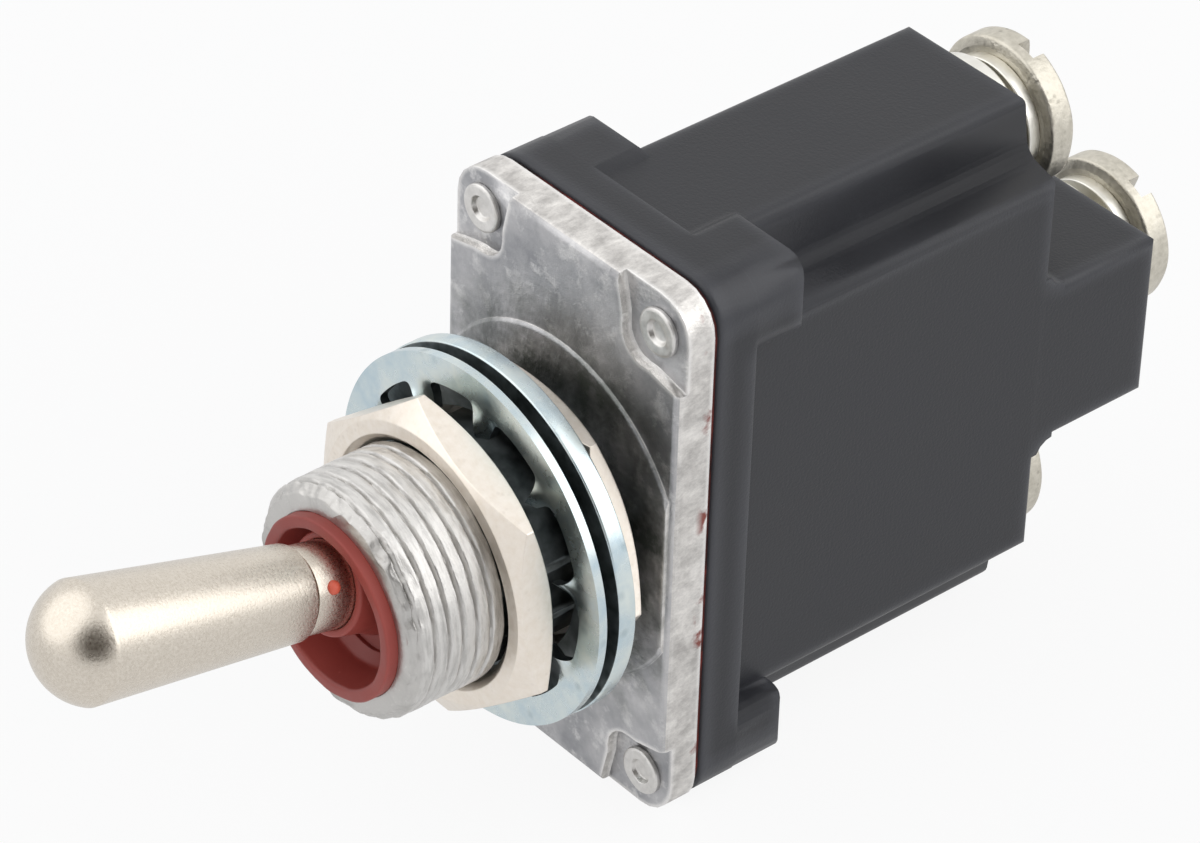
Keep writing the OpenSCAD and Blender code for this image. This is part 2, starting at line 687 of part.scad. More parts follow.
module fixed_contact(s) {
    color([0.82, 0.82, 0.84]) translate([0, 0, s * contact_z]) turned() polygon([
        [0, -foot_y + lie_gap], [button_r, -foot_y + lie_gap], [button_r, -fixed_y - 0.2],
        [button_r - 0.2, -fixed_y], [0, -fixed_y]]);
}

// ---------------------------------------------------------------- terminals

// A round plate on the case's back, with a stem that runs through to the contacts
module terminal_stud(back, end_y) {
    difference() {
        turned() polygon([[0, -end_y], [0, -back - plate_t], [plate_r - 0.15, -back - plate_t],
            [plate_r, -back - plate_t + 0.15], [plate_r, -back - lie_gap], [stem_r, -back - lie_gap],
            [stem_r, -end_y]]);
        disc(-back - plate_t - 1, -back - plate_t + shank_len + 0.6, shank_r + run_gap);
    }
}

module outer_terminal(s) {
    color([0.85, 0.84, 0.8]) union() {
        translate([0, 0, s * terminal_z]) terminal_stud(case_back, floor_y - foot_t / 2);
        foot_in = contact_z - button_r;
        foot_out = slot_reach - 0.1;
        slab(foot_y, floor_y - lie_gap) translate([0, s * (foot_in + foot_out) / 2])
            square([2 * (slot_half - 0.2), foot_out - foot_in], center = true);
    }
}

module terminal_middle() {
    color([0.85, 0.84, 0.8]) terminal_stud(block_back, well_y);
}

module lock_washer(z, back, slack) {
    f = -back - plate_t - slack - lock_t;
    color([0.78, 0.77, 0.72]) translate([0, 0, z]) difference() {
        disc(f, f + lock_t, screw_head_r - 0.35);
        disc(f - 1, f + lock_t + 1, shank_r + slide_gap);
        rotate([0, 30, 0]) translate([0, -f - lock_t - 1, -0.2]) rotate([20, 0, 0])
            cube([6, lock_t + 3, 0.35]);
    }
}

module terminal_screw(z, back, slack) {
    f = -back - plate_t - slack - lock_t - lie_gap;
    flat = 1.2;
    rise = screw_head_h - flat;
    dome_r = (screw_head_r * screw_head_r + rise * rise) / (2 * rise);
    sweep = asin(screw_head_r / dome_r);
    tail_f = -back - plate_t + shank_len;
    color([0.8, 0.79, 0.75]) translate([0, 0, z]) difference() {
        turned() polygon(concat(
            [for (k = [0 : 8]) let (a = sweep * k / 8)
                [dome_r * sin(a), f - screw_head_h + dome_r - dome_r * cos(a)]],
            [[screw_head_r, f - 0.15], [screw_head_r - 0.15, f], [shank_r, f], [shank_r, tail_f - 0.4],
                [shank_r - 0.4, tail_f], [0, tail_f]]));
        rotate([0, -slot_turn, 0]) translate([-5, -f + screw_head_h - slot_depth, -0.5]) cube([10, 3, 1]);
    }
}

case();
mounting_flange();
flange_gasket();
rivet(-1, 1);  // rivet_top_left
rivet(1, 1);  // rivet_top_right
rivet(-1, -1);  // rivet_bottom_left
rivet(1, -1);  // rivet_bottom_right
lever();
lever_pivot_pin();
pivot_retainer();
lever_seal();
hex_nut(front_nut_f, front_nut_turn, 0.6);  // front_nut
tooth_washer();
locking_ring();
hex_nut(rear_nut_f, rear_nut_turn, 0.3);  // rear_nut
outer_terminal(1);  // terminal_upper
terminal_middle();
outer_terminal(-1);  // terminal_lower
terminal_screw(terminal_z, case_back, slack_gap);  // terminal_screw_upper
terminal_screw(0, block_back, slack_gap + middle_slack);  // terminal_screw_middle
terminal_screw(-terminal_z, case_back, slack_gap);  // terminal_screw_lower
lock_washer(terminal_z, case_back, slack_gap);  // lock_washer_upper
lock_washer(0, block_back, slack_gap + middle_slack);  // lock_washer_middle
lock_washer(-terminal_z, case_back, slack_gap);  // lock_washer_lower
plunger();
plunger_spring();
rocker_contact();
rocker_pin();
rocker_support();
moving_contact(1);  // moving_contact_upper
moving_contact(-1);  // moving_contact_lower
fixed_contact(1);  // fixed_contact_upper
fixed_contact(-1);  // fixed_contact_lower
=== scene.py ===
# %% [markdown]
# # Dressing a sealed panel toggle switch
#
# The solids of this switch were drawn in CAD and arrive here as a fixed frame. This lesson gives each of
# them its real surface: a rough die-cast bushing with its thread, a satin bat lever, a red rubber seal,
# plated nuts and washers, and a charcoal moulded case. Places and outer sizes are read from the frame.
# Small forms, such as a shoulder or a rounded rim, are given here in mm.

# %% Load the frame
import json
import math
import bmesh
import bpy
from mathutils import Matrix, Vector, noise


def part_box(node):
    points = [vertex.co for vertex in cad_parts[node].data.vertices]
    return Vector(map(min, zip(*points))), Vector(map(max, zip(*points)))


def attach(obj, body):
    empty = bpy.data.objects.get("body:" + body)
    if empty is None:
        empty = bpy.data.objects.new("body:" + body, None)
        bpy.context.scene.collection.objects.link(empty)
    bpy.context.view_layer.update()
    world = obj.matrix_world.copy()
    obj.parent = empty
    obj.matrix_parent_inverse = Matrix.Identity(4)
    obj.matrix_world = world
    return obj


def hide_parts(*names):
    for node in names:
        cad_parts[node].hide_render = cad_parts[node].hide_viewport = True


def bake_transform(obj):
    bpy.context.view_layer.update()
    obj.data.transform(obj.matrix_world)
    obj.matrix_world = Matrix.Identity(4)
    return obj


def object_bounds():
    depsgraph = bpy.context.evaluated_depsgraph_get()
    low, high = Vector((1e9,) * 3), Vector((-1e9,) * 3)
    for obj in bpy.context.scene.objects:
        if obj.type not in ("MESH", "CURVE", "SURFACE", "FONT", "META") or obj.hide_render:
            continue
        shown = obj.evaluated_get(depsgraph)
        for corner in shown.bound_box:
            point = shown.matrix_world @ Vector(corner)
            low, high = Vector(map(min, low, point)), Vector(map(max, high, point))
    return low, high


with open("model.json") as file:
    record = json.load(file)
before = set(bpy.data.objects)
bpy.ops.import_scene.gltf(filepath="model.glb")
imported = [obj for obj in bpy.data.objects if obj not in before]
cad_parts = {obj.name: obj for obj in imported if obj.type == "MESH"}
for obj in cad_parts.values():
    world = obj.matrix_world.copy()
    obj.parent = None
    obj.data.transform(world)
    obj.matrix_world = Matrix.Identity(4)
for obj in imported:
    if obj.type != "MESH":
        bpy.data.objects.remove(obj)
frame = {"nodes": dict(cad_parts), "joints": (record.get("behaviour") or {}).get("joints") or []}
cad_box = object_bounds()
MM = 0.001
print("nodes:", len(frame["nodes"]), "box in mm:", [[round(v / MM, 1) for v in corner] for corner in cad_box])

# %% [markdown]
# ## Measuring the frame
#
# The bushing points along -Y, so a distance "forward" is minus Y. The lever leans, and its lean is read
# from the joints: it turns about the first joint's place, and the plunger slides along the lever's own
# axis.

# %% Measure the pieces
joints = {joint["name"]: joint for joint in frame["joints"]}
pivot = Vector(joints["lever_tilt"]["pos_m"])
lever_axis = Vector(joints["plunger_slide"]["axis"]).normalized()


def forward(node):
    """How far forward a node starts and ends."""
    low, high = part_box(node)
    return -high.y, -low.y


def wide(node):
    """Half of a node's width."""
    low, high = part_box(node)
    return (high.x - low.x) / 2


def centre(node):
    low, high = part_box(node)
    return (low + high) / 2


def place_along(origin, axis):
    """A matrix that lays a turned part, drawn about Z, along an axis."""
    side = Vector((1, 0, 0))
    up = axis.cross(side).normalized()
    place = Matrix((side, up, axis)).transposed().to_4x4()
    place.translation = origin
    return place


ON_BUSHING = place_along(Vector((0, 0, 0)), Vector((0, -1, 0)))
ON_LEVER = place_along(pivot, lever_axis)
mouth = forward("mounting_flange")[1]
front_nut = forward("front_nut")
print("mouth", round(mouth / MM, 2), "front nut", [round(v / MM, 2) for v in front_nut])

# %% [markdown]
# ## Small mesh helpers
#
# Most of the switch is turned or stamped. A turned part is one profile, spun round its axis. Real corners
# are never sharp, so each profile corner carries a radius, and a short arc is put there before the profile
# is spun. The profile stands in a ring of copies, and neighbours are joined by four-sided faces. Knocked
# and rolled parts are dented by noise, which has a fixed seed, so that every run makes the same dents.

# %% Make a piece
def make_piece(name, points, faces, soften=38):
    mesh = bpy.data.meshes.new(name)
    mesh.from_pydata([tuple(point) for point in points], [], faces)
    piece = bpy.data.objects.new(name, mesh)
    bpy.context.scene.collection.objects.link(piece)
    return close_up(piece, soften)


def close_up(piece, soften=38):
    """Merges doubles, turns the faces outwards and shades smoothly across shallow angles."""
    work = bmesh.new()
    work.from_mesh(piece.data)
    bmesh.ops.remove_doubles(work, verts=work.verts, dist=1e-7)
    bmesh.ops.recalc_face_normals(work, faces=work.faces)
    work.to_mesh(piece.data)
    work.free()
    piece.data.shade_smooth()
    piece.data.set_sharp_from_angle(angle=math.radians(soften))
    return piece


print("pieces are closed, turned outwards and shaded")

# %% Turn a profile
ARC_STEPS, DENTS = 4, 7
noise.seed_set(DENTS)


def round_corners(path):
    """path holds (radius, height, corner) or (radius, height); returns it with arcs at the corners."""
    out = []
    for i, point in enumerate(path):
        here = Vector(point[:2])
        corner = point[2] if len(point) > 2 else 0
        if corner == 0 or i in (0, len(path) - 1):
            out.append(here)
            continue
        back = Vector(path[i - 1][:2]) - here
        ahead = Vector(path[i + 1][:2]) - here
        half = back.angle(ahead) / 2
        reach = min(corner / math.tan(half), back.length * 0.49, ahead.length * 0.49)
        start, end = here + back.normalized() * reach, here + ahead.normalized() * reach
        for k in range(ARC_STEPS + 1):
            t = k / ARC_STEPS
            out.append((1 - t) ** 2 * start + 2 * t * (1 - t) * here + t ** 2 * end)
    return out


def round_about(radius, turn, height):
    """A point at a radius and an angle about Z."""
    return Vector((radius * math.cos(turn), radius * math.sin(turn), height))


def join_rings(around, count, closed=True):
    """Faces between profiles of count points that stand in a ring."""
    faces = []
    for k in range(around):
        a, b = k * count, (k + 1) % around * count
        for i in range(count if closed else count - 1):
            j = (i + 1) % count
            faces.append((a + i, a + j, b + j, b + i))
    return faces


def spin(name, path, place, around=96, closed=False, wobble=0, wobble_size=1.0, soften=38):
    """Turns a profile in mm about Z, shifts it a little with noise if asked, and lays it in place."""
    profile = round_corners(path)
    points = []
    for k in range(around):
        for p in profile:
            spot = round_about(p.x, 2 * math.pi * k / around, p.y)
            if wobble and p.x > 0.01:
                spot += noise.noise_vector(spot / wobble_size) * wobble
            points.append(place @ (spot * MM))
    return make_piece(name, points, join_rings(around, len(profile), closed), soften)


print("arcs have", ARC_STEPS, "steps")

# %% [markdown]
# ## Copies of the solids
#
# Where a solid already has the right shape, a merged copy of it is dressed instead. CAD triangles are long
# and thin, so the flat ones are joined first. Weighted normals then keep flat faces flat to the light.

# %% Copy a solid
def settle(piece):
    """Turns a piece and its modifiers into one plain mesh."""
    graph = bpy.context.evaluated_depsgraph_get()
    plain = bpy.data.meshes.new_from_object(piece.evaluated_get(graph))
    piece.modifiers.clear()
    piece.data = plain
    return piece


def soften_edges(piece, bevel):
    """Rounds the edges if a bevel in mm is given, and weights the normals by face area."""
    piece.data.shade_smooth()
    if bevel:
        soft = piece.modifiers.new("soft edges", "BEVEL")
        soft.width, soft.segments = bevel * MM, 2
        soft.limit_method, soft.angle_limit = "ANGLE", math.radians(30)
        soft.use_clamp_overlap = False
    steady = piece.modifiers.new("steady faces", "WEIGHTED_NORMAL")
    steady.weight, steady.keep_sharp = 80, True
    piece.data.set_sharp_from_angle(angle=math.radians(50))
    return settle(piece)


def copy_of(node, name, bevel=0.0, cut_at=None):
    """A merged copy of a solid with its flat faces joined, cut off at a distance forward if one is given."""
    piece = bpy.data.objects.new(name, frame["nodes"][node].data.copy())
    piece.data.name = name
    piece.data.materials.clear()
    bpy.context.scene.collection.objects.link(piece)
    work = bmesh.new()
    work.from_mesh(piece.data)
    bmesh.ops.remove_doubles(work, verts=work.verts, dist=2e-7)
    if cut_at is not None:
        everything = list(work.verts) + list(work.edges) + list(work.faces)
        bmesh.ops.bisect_plane(work, geom=everything, plane_co=(0, -cut_at, 0), plane_no=(0, -1, 0),
                               clear_outer=True)
    bmesh.ops.dissolve_limit(work, angle_limit=math.radians(0.05), verts=work.verts, edges=work.edges)
    work.to_mesh(piece.data)
    work.free()
    return soften_edges(piece, bevel)


print("helpers ready")

# %% [markdown]
# ## Colours and shared surface effects
#
# Nothing on a used switch has one flat colour. Four effects are node groups with named sockets of their
# own, so that several materials can use them with other values: a plated skin, a cast skin, a moulded grain
# and the streaks of a thread. The shaders themselves stay in the materials.

# %% Node helpers
def linear(code):
    """A colour written as on a paint chart, turned into the linear values that shaders use."""
    out = []
    for i in (1, 3, 5):
        v = int(code[i:i + 2], 16) / 255
        out.append(v / 12.92 if v <= 0.04045 else ((v + 0.055) / 1.055) ** 2.4)
    return (*out, 1.0)


def put(tree, kind, links=None, **settings):
    """Adds a node; links maps its input names or numbers to sockets or values."""
    node = tree.nodes.new(kind)
    for key, value in settings.items():
        setattr(node, key, value)
    for key, value in (links or {}).items():
        socket = node.inputs[key]
        if isinstance(value, bpy.types.NodeSocket):
            tree.links.new(value, socket)
        else:
            socket.default_value = value
    return node


def combine(tree, a, b, how="MULTIPLY"):
    return put(tree, "ShaderNodeMath", {0: a, 1: b}, operation=how).outputs[0]


def between(tree, value, low, high, out_low=0.0, out_high=1.0, **settings):
    """Maps a value that runs from low to high to another range."""
    return put(tree, "ShaderNodeMapRange", {"Value": value, "From Min": low, "From Max": high,
                                            "To Min": out_low, "To Max": out_high}, **settings).outputs[0]


def mix_colours(tree, mask, ground, over):
    return put(tree, "ShaderNodeMix", {0: mask, 6: ground, 7: over}, data_type="RGBA").outputs[2]


print("white is", linear("#ffffff")[:3])

# %% Helpers that read a place on the object
def on_object(tree):
    return put(tree, "ShaderNodeTexCoord").outputs["Object"]


def split_up(tree, vector):
    """The X, Y and Z of a vector."""
    return put(tree, "ShaderNodeSeparateXYZ", {0: vector}).outputs


def from_axis(tree, at):
    """How far a point lies from the bushing's axis."""
    flat = put(tree, "ShaderNodeCombineXYZ", {0: at["X"], 1: at["Z"]}).outputs[0]
    return put(tree, "ShaderNodeVectorMath", {0: flat}, operation="LENGTH").outputs["Value"]


def noise_at(tree, scale, detail=4.0, rough=0.5, stretch=None):
    where = on_object(tree)
    if stretch:
        where = put(tree, "ShaderNodeMapping", {"Vector": where, "Scale": stretch}).outputs[0]
    return put(tree, "ShaderNodeTexNoise", {"Vector": where, "Scale": scale, "Detail": detail,
                                            "Roughness": rough}).outputs["Fac"]


def dots_at(tree, scale):
    """The distance to the nearest of many scattered dots."""
    return put(tree, "ShaderNodeTexVoronoi", {"Vector": on_object(tree), "Scale": scale}).outputs["Distance"]


print("noise and dots are laid out in metres, on the object's own coordinates")

# %% Node group helpers
def new_group(name, inputs, outputs):
    group = bpy.data.node_groups.new(name, "ShaderNodeTree")
    for label, value in inputs.items():
        socket = group.interface.new_socket(label, in_out="INPUT", socket_type="NodeSocketFloat")
        socket.default_value = value
    for label in outputs:
        group.interface.new_socket(label, in_out="OUTPUT", socket_type="NodeSocketFloat")
    return group, group.nodes.new("NodeGroupInput").outputs


def hand_out(group, *values):
    """Links the results of a group to its outputs, in order."""
    ends = group.nodes.new("NodeGroupOutput")
    for socket, value in zip(ends.inputs, values):
        group.links.new(value, socket)
    print("group:", group.name)


# %% [markdown]
# ### Plated skin
#
# Plating is thin and even, with a fine mottle from the bath. Here and there it has pits, where dirt lay on
# the metal. Dots make the pits, and a slow noise keeps them to patches.

# %% Plated skin
plated_skin, given = new_group("plated skin", {"Grain": 2600.0, "Pit Scale": 1400.0, "Pits": 0.3},
                               ["Mottle", "Pit Mask", "Height"])
mottle = between(plated_skin, noise_at(plated_skin, given["Grain"], 3, 0.6), 0.3, 0.7)
pits = between(plated_skin, dots_at(plated_skin, given["Pit Scale"]), 0.12, 0.3, 1.0, 0.0)
patchy = between(plated_skin, noise_at(plated_skin, 420, 2), 0.45, 0.6)
pits = combine(plated_skin, combine(plated_skin, pits, patchy), given["Pits"])
height = combine(plated_skin, mottle, combine(plated_skin, pits, 1.5), "SUBTRACT")
hand_out(plated_skin, mottle, pits, height)

# %% [markdown]
# ### Cast skin
#
# A die casting is stained in broad clouds, scuffed in spots and scratched along its sides. Three noises of
# different size and stretch give the three, and a fourth is the grain that the die left.

# %% Cast skin
cast_skin, given = new_group("cast skin", {"Stain Scale": 260.0, "Grain Scale": 1500.0},
                             ["Stain", "Scuff", "Height", "Scratch"])
stain = between(cast_skin, noise_at(cast_skin, given["Stain Scale"], 5, 0.62), 0.36, 0.66)
scratch = between(cast_skin, noise_at(cast_skin, 1300, 6, 0.75, (1.0, 0.5, 0.8)), 0.34, 0.68)
scuff = between(cast_skin, noise_at(cast_skin, 620, 6, 0.75), 0.52, 0.66)
grain = noise_at(cast_skin, given["Grain Scale"], 5, 0.7)
hand_out(cast_skin, stain, scuff, combine(cast_skin, grain, combine(cast_skin, scuff, 0.35), "ADD"), scratch)

# %% [markdown]
# ### Moulded grain
#
# Plastic and rubber take the grain of their mould, and light dust stays on them. The grain only moves the
# light, and the dust is small round specks of a paler colour.

# %% Moulded grain
moulded_grain, given = new_group("moulded grain", {"Grain Scale": 3600.0, "Dust": 0.25},
                                 ["Cloud", "Dust Mask", "Height"])
cloud = between(moulded_grain, noise_at(moulded_grain, 150, 3), 0.3, 0.7)
specks = between(moulded_grain, dots_at(moulded_grain, 900.0), 0.03, 0.09, 1.0, 0.0)
dust = combine(moulded_grain, specks, given["Dust"])
hand_out(moulded_grain, cloud, dust, noise_at(moulded_grain, given["Grain Scale"], 3, 0.6))

# %% [markdown]
# ### Streaks round a thread
#
# A worn thread is streaked the way a nut turns on it. So the noise is laid on an unrolled thread: the angle
# about the axis is squeezed, and the distance along it is kept. The streaks fade towards the roots, so the
# roots come out darker than the crests.

# %% Streaks round a thread
thread_skin, given = new_group("thread skin", {"Streak Scale": 2800.0, "Root": 5.52, "Crest": 5.78},
                               ["Streak", "Fleck", "Height"])
SQUEEZE = 0.0011
at = split_up(thread_skin, on_object(thread_skin))
round_it = combine(thread_skin, combine(thread_skin, at["X"], at["Z"], "ARCTAN2"), SQUEEZE)
unrolled = put(thread_skin, "ShaderNodeCombineXYZ", {0: round_it, 1: at["Y"]}).outputs[0]
streak = put(thread_skin, "ShaderNodeTexNoise", {"Vector": unrolled, "Scale": given["Streak Scale"],
                                                 "Detail": 5.0, "Roughness": 0.65}).outputs["Fac"]
out_in_mm = combine(thread_skin, from_axis(thread_skin, at), 1 / MM)
root_to_crest = between(thread_skin, out_in_mm, given["Root"], given["Crest"], 0.35, 1.0)
bands = combine(thread_skin, between(thread_skin, streak, 0.36, 0.56), root_to_crest)
flecks = between(thread_skin, noise_at(thread_skin, 6000, 4, 0.7), 0.6, 0.72, 0.0, 0.35)
grit = combine(thread_skin, noise_at(thread_skin, 1900, 4, 0.7), 0.8)
hand_out(thread_skin, bands, flecks, combine(thread_skin, streak, grit, "ADD"))

# %% [markdown]
# ## Materials
#
# Each material is a Principled shader fed by one of the groups: two colours mixed by a slow mask, a third
# for pits or scuffs, and the group's height as a fine bump. The bump's distance is the real depth of the
# roughness, a few hundredths of a millimetre. Sharp edges are rounded by the light alone, with a Bevel
# node. A lighter colour lies along the convex edges, which Ambient Occlusion turned inwards can find: on
# the case it is a painted highlight, and on the casting it is wear with a painted highlight.

# %% Sides and edges: scratches and wear, with painted sheen and painted highlights
def scratch_and_sheen_sides(tree, colour, scratch, dull, bright):
    """Gives the sides, which do not face forward or back, a scored colour of their own: real scratches, over
    a paler tone that paints the sheen the sides catch.
    """
    facing = split_up(tree, put(tree, "ShaderNodeNewGeometry").outputs["True Normal"])
    side = between(tree, combine(tree, facing["Y"], 0.0, "ABSOLUTE"), 0.75, 0.45)
    return mix_colours(tree, side, colour, mix_colours(tree, scratch, linear(dull), linear(bright)))


def wear_and_highlight_edges(tree, colour, slow, radius, worn):
    """Lays a lighter colour along the convex edges, more of it where the slow mask is high: wear with a
    painted highlight on the casting, and a painted highlight on the case.
    """
    within = put(tree, "ShaderNodeAmbientOcclusion", {"Distance": 2.2 * radius * MM}, samples=6, inside=True,
                 only_local=True).outputs["AO"]
    edge_wear_and_highlight = combine(tree, between(tree, within, 0.97, 0.62), between(tree, slow, 0.0, 1.0, 0.6, 1.0))
    return mix_colours(tree, edge_wear_and_highlight, colour, linear(worn))


# The lighter sides and edges are painted sheen and painted highlights as well as scratches and wear.
print("sides and edges can wear")

# %% Material maker
def finish(name, skin, values, base, mix, marks, metallic=0.0, rough=(0.35, 0.5), bump=0.02, bump_power=0.5,
           edge=0.0, worn=None, sides_scratch_and_sheen=None, **shader_values):
    """base and mix are blended by the skin's first output, and marks covers its second. edge is the radius
    in mm that the light sees on sharp edges, and worn the lighter colour laid on those edges: a painted
    highlight, which on the casting is also wear. The last argument gives two colours for the sides,
    scratched and with a painted sheen."""
    material = bpy.data.materials.new(name)
    material.use_nodes = True
    tree = material.node_tree
    shader = tree.nodes["Principled BSDF"]
    effect = put(tree, "ShaderNodeGroup", node_tree=skin)
    for label, value in values.items():
        effect.inputs[label].default_value = value
    slow, spots, height = effect.outputs[0], effect.outputs[1], effect.outputs[2]
    colour = mix_colours(tree, spots, mix_colours(tree, slow, linear(base), linear(mix)), linear(marks))
    # The sides' colour holds real scratches and a painted sheen.
    if sides_scratch_and_sheen:
        colour = scratch_and_sheen_sides(tree, colour, effect.outputs["Scratch"], *sides_scratch_and_sheen)
    # Painted highlight along the convex edges, which on the casting is also wear.
    if worn:
        colour = wear_and_highlight_edges(tree, colour, slow, edge, worn)
    relief = put(tree, "ShaderNodeBump", {"Strength": bump_power, "Distance": bump * MM, "Height": height})
    if edge:
        rounded = put(tree, "ShaderNodeBevel", {"Radius": edge * MM}, samples=8).outputs[0]
        tree.links.new(rounded, relief.inputs["Normal"])
    tree.links.new(colour, shader.inputs["Base Color"])
    tree.links.new(between(tree, slow, 0.0, 1.0, *rough), shader.inputs["Roughness"])
    tree.links.new(relief.outputs[0], shader.inputs["Normal"])
    shader.inputs["Metallic"].default_value = metallic
    for label, value in shader_values.items():
        shader.inputs[label.replace("_", " ")].default_value = value
    return material


def plated(name, colours, grain=900.0, pit_scale=900.0, pits=0.3, rough=(0.3, 0.42), bump=0.02,
           bump_power=0.3, **more):
    """A plated or bare metal, with colours for its ground, its mottle and its pits."""
    return finish(name, plated_skin, {"Grain": grain, "Pit Scale": pit_scale, "Pits": pits}, *colours,
                  metallic=1.0, rough=rough, bump=bump, bump_power=bump_power, **more)


def moulded(name, colours, grain, dust, rough, bump=0.02, bump_power=0.4, **more):
    """Plastic or rubber, with colours for its ground, its clouds and its dust."""
    return finish(name, moulded_grain, {"Grain Scale": grain, "Dust": dust}, *colours,
                  rough=rough, bump=bump, bump_power=bump_power, **more)


print("makers ready for plated and moulded finishes")

# %% Metals
satin_nickel = plated("satin nickel", ("#cdc4b7", "#e0d8cc", "#8d8478"), grain=7500.0, pit_scale=5200.0,
                      pits=0.10, rough=(0.24, 0.33), bump=0.008, bump_power=0.4)
champagne_plate = plated("champagne plate", ("#ece2d5", "#f4ece2", "#b8ad9f"), grain=2500.0,
                         pit_scale=2500.0, pits=0.15, rough=(0.28, 0.38), bump=0.012, edge=0.1)
blue_zinc = plated("pale blue zinc", ("#bfd0d8", "#dde5e2", "#7c9199"), grain=700.0, pits=0.35,
                   rough=(0.2, 0.34), bump=0.015)
# The zinc in the shade is painted shade: a darker zinc for faces that lie deep between the parts.
shaded_zinc = plated("zinc in the shade", ("#585e5f", "#8a9091", "#2c3233"), pits=0.5, rough=(0.35, 0.5),
                   bump_power=0.35)
bright_rivet = plated("rolled rivet", ("#d2d0cd", "#e6e4e1", "#a29f99"), grain=2800.0, pit_scale=2600.0,
                      pits=0.2, rough=(0.34, 0.46), bump_power=0.4)
screw_plate = plated("dull screw plate", ("#bfbaad", "#dad5c9", "#8a857a"), grain=2600.0, pit_scale=2200.0,
                     pits=0.4, rough=(0.36, 0.5), bump=0.03, bump_power=0.55)
bright_tin = plated("bright tin", ("#e6e4dc", "#f3f1ea", "#c9c5ba"), grain=1200.0, pit_scale=1200.0,
                    pits=0.1, rough=(0.28, 0.36))
contact_copper = plated("strip copper", ("#b8734a", "#c98960", "#6e4630"), rough=(0.3, 0.45))
plain_steel = plated("plain steel", ("#a9a9ac", "#bcbcbe", "#707072"))
yellow_brass = plated("yellow brass", ("#b99a5a", "#cbb070", "#7a6238"))
print("metals:", len(bpy.data.materials))

# %% Castings
# The casting's near-white edge colour is wear and painted highlight, and its sides' paler scratched colour
# carries a painted sheen.
die_cast = finish("die-cast zinc", cast_skin, {"Stain Scale": 230.0, "Grain Scale": 2600.0},
                  "#999a9e", "#d3d2d3", "#dad9d9", metallic=1.0, rough=(0.40, 0.55), bump=0.06,
                  bump_power=0.7, edge=0.12, worn="#f6f4f2", sides_scratch_and_sheen=("#b8b5b2", "#efece8"))
thread_metal = finish("worn thread", thread_skin, {"Streak Scale": 2800.0, "Root": 5.66, "Crest": 5.84},
                      "#bab8b5", "#e0dedb", "#f2f0ed", metallic=1.0, rough=(0.36, 0.5), bump=0.06,
                      bump_power=0.7)
print("with castings:", len(bpy.data.materials))

# %% Plastic and rubber
# The case's worn colour is a painted highlight along its convex edges.
charcoal = moulded("charcoal mould", ("#1a1b20", "#202126", "#4c4d52"), grain=6500.0, dust=0.12,
                   rough=(0.34, 0.44), bump=0.03, bump_power=0.5, edge=0.5, worn="#3d3e43",
                   Specular_IOR_Level=0.45)
red_rubber = moulded("brick red rubber", ("#8f3a33", "#9f463d", "#cf7869"), grain=3000.0, dust=0.2,
                     rough=(0.42, 0.55), bump_power=0.45, edge=0.1, Specular_IOR_Level=0.5)
# The gasket's near-black ground is painted shade of its recess between flange and case, with its red in
# patches.
gasket_rubber = finish("gasket rubber in painted shade", cast_skin, {"Stain Scale": 300.0, "Grain Scale": 1500.0},
                       "#1d1212", "#74302b", "#8d3a33", rough=(0.5, 0.6), bump_power=0.4)
black_nylon = moulded("black nylon", ("#262626", "#2e2e2e", "#555555"), grain=2400.0, dust=0.05,
                      rough=(0.4, 0.5))
print("materials:", len(bpy.data.materials))

# %% [markdown]
# ## Tarnish and smears on the casting
#
# Round the bushing, where the washers shade it, the casting is darkened with a greenish tint, partly tarnish
# and partly painted shade. Rubber from the gasket has smeared over its back edge.
# Both are patches of noise within a band that is measured from the frame, laid over the colour that the
# material already has. A smear is rubber, so it also takes the metal's shine away.

# %% Patches on a metal
def paint_of(material):
    """A material's tree, its shader and the socket that gives its colour."""
    tree = material.node_tree
    shader = tree.nodes["Principled BSDF"]
    return tree, shader, shader.inputs["Base Color"].links[0].from_socket


def tarnish_and_shade(material, tint, start, end, size, edge_x):
    """Darkens a metal in patches round the bushing: a tarnish tint that is also painted shade from the
    washers. They fade out from start to end, and short of edge_x.
    """
    tree, shader, metal = paint_of(material)
    at = split_up(tree, on_object(tree))
    patch = combine(tree, between(tree, from_axis(tree, at), end, start),
                    between(tree, noise_at(tree, size, 5, 0.65), 0.38, 0.6))
    across = combine(tree, at["X"], 0.0, "ABSOLUTE")
    patch = combine(tree, patch, between(tree, across, edge_x - 0.15 * MM, edge_x - 0.4 * MM))
    tree.links.new(mix_colours(tree, patch, metal, linear(tint)), shader.inputs["Base Color"])


def smear(material, tint, start, end, size):
    """Puts patches of rubber on the back of a metal. They fade out from start to end, measured forward."""
    tree, shader, metal = paint_of(material)
    along = split_up(tree, on_object(tree))["Y"]
    patch = combine(tree, between(tree, along, -end, -start),
                    between(tree, noise_at(tree, size, 5, 0.6), 0.57, 0.62))
    tree.links.new(mix_colours(tree, patch, metal, linear(tint)), shader.inputs["Base Color"])
    tree.links.new(between(tree, patch, 0.0, 1.0, 1.0, 0.1), shader.inputs["Metallic"])


plate_back = forward("flange_gasket")[1]
plate_side = wide("mounting_flange")
# Dark patches round the bushing, partly tarnish and partly painted shade from the washers.
tarnish_and_shade(die_cast, "#6f736f", 8 * MM, 11.5 * MM, 330, plate_side)
smear(die_cast, "#7c3a2f", plate_back + 0.25 * MM, plate_back + 0.7 * MM, 300)
print("plate back", round(plate_back / MM, 2), "and side", round(plate_side / MM, 2))

# %% [markdown]
# ## Dressing a piece
#
# Every finished piece gets its material and, when a body is given, rides on that moving body. It also names
# the solids that it stands for, so that those are hidden.

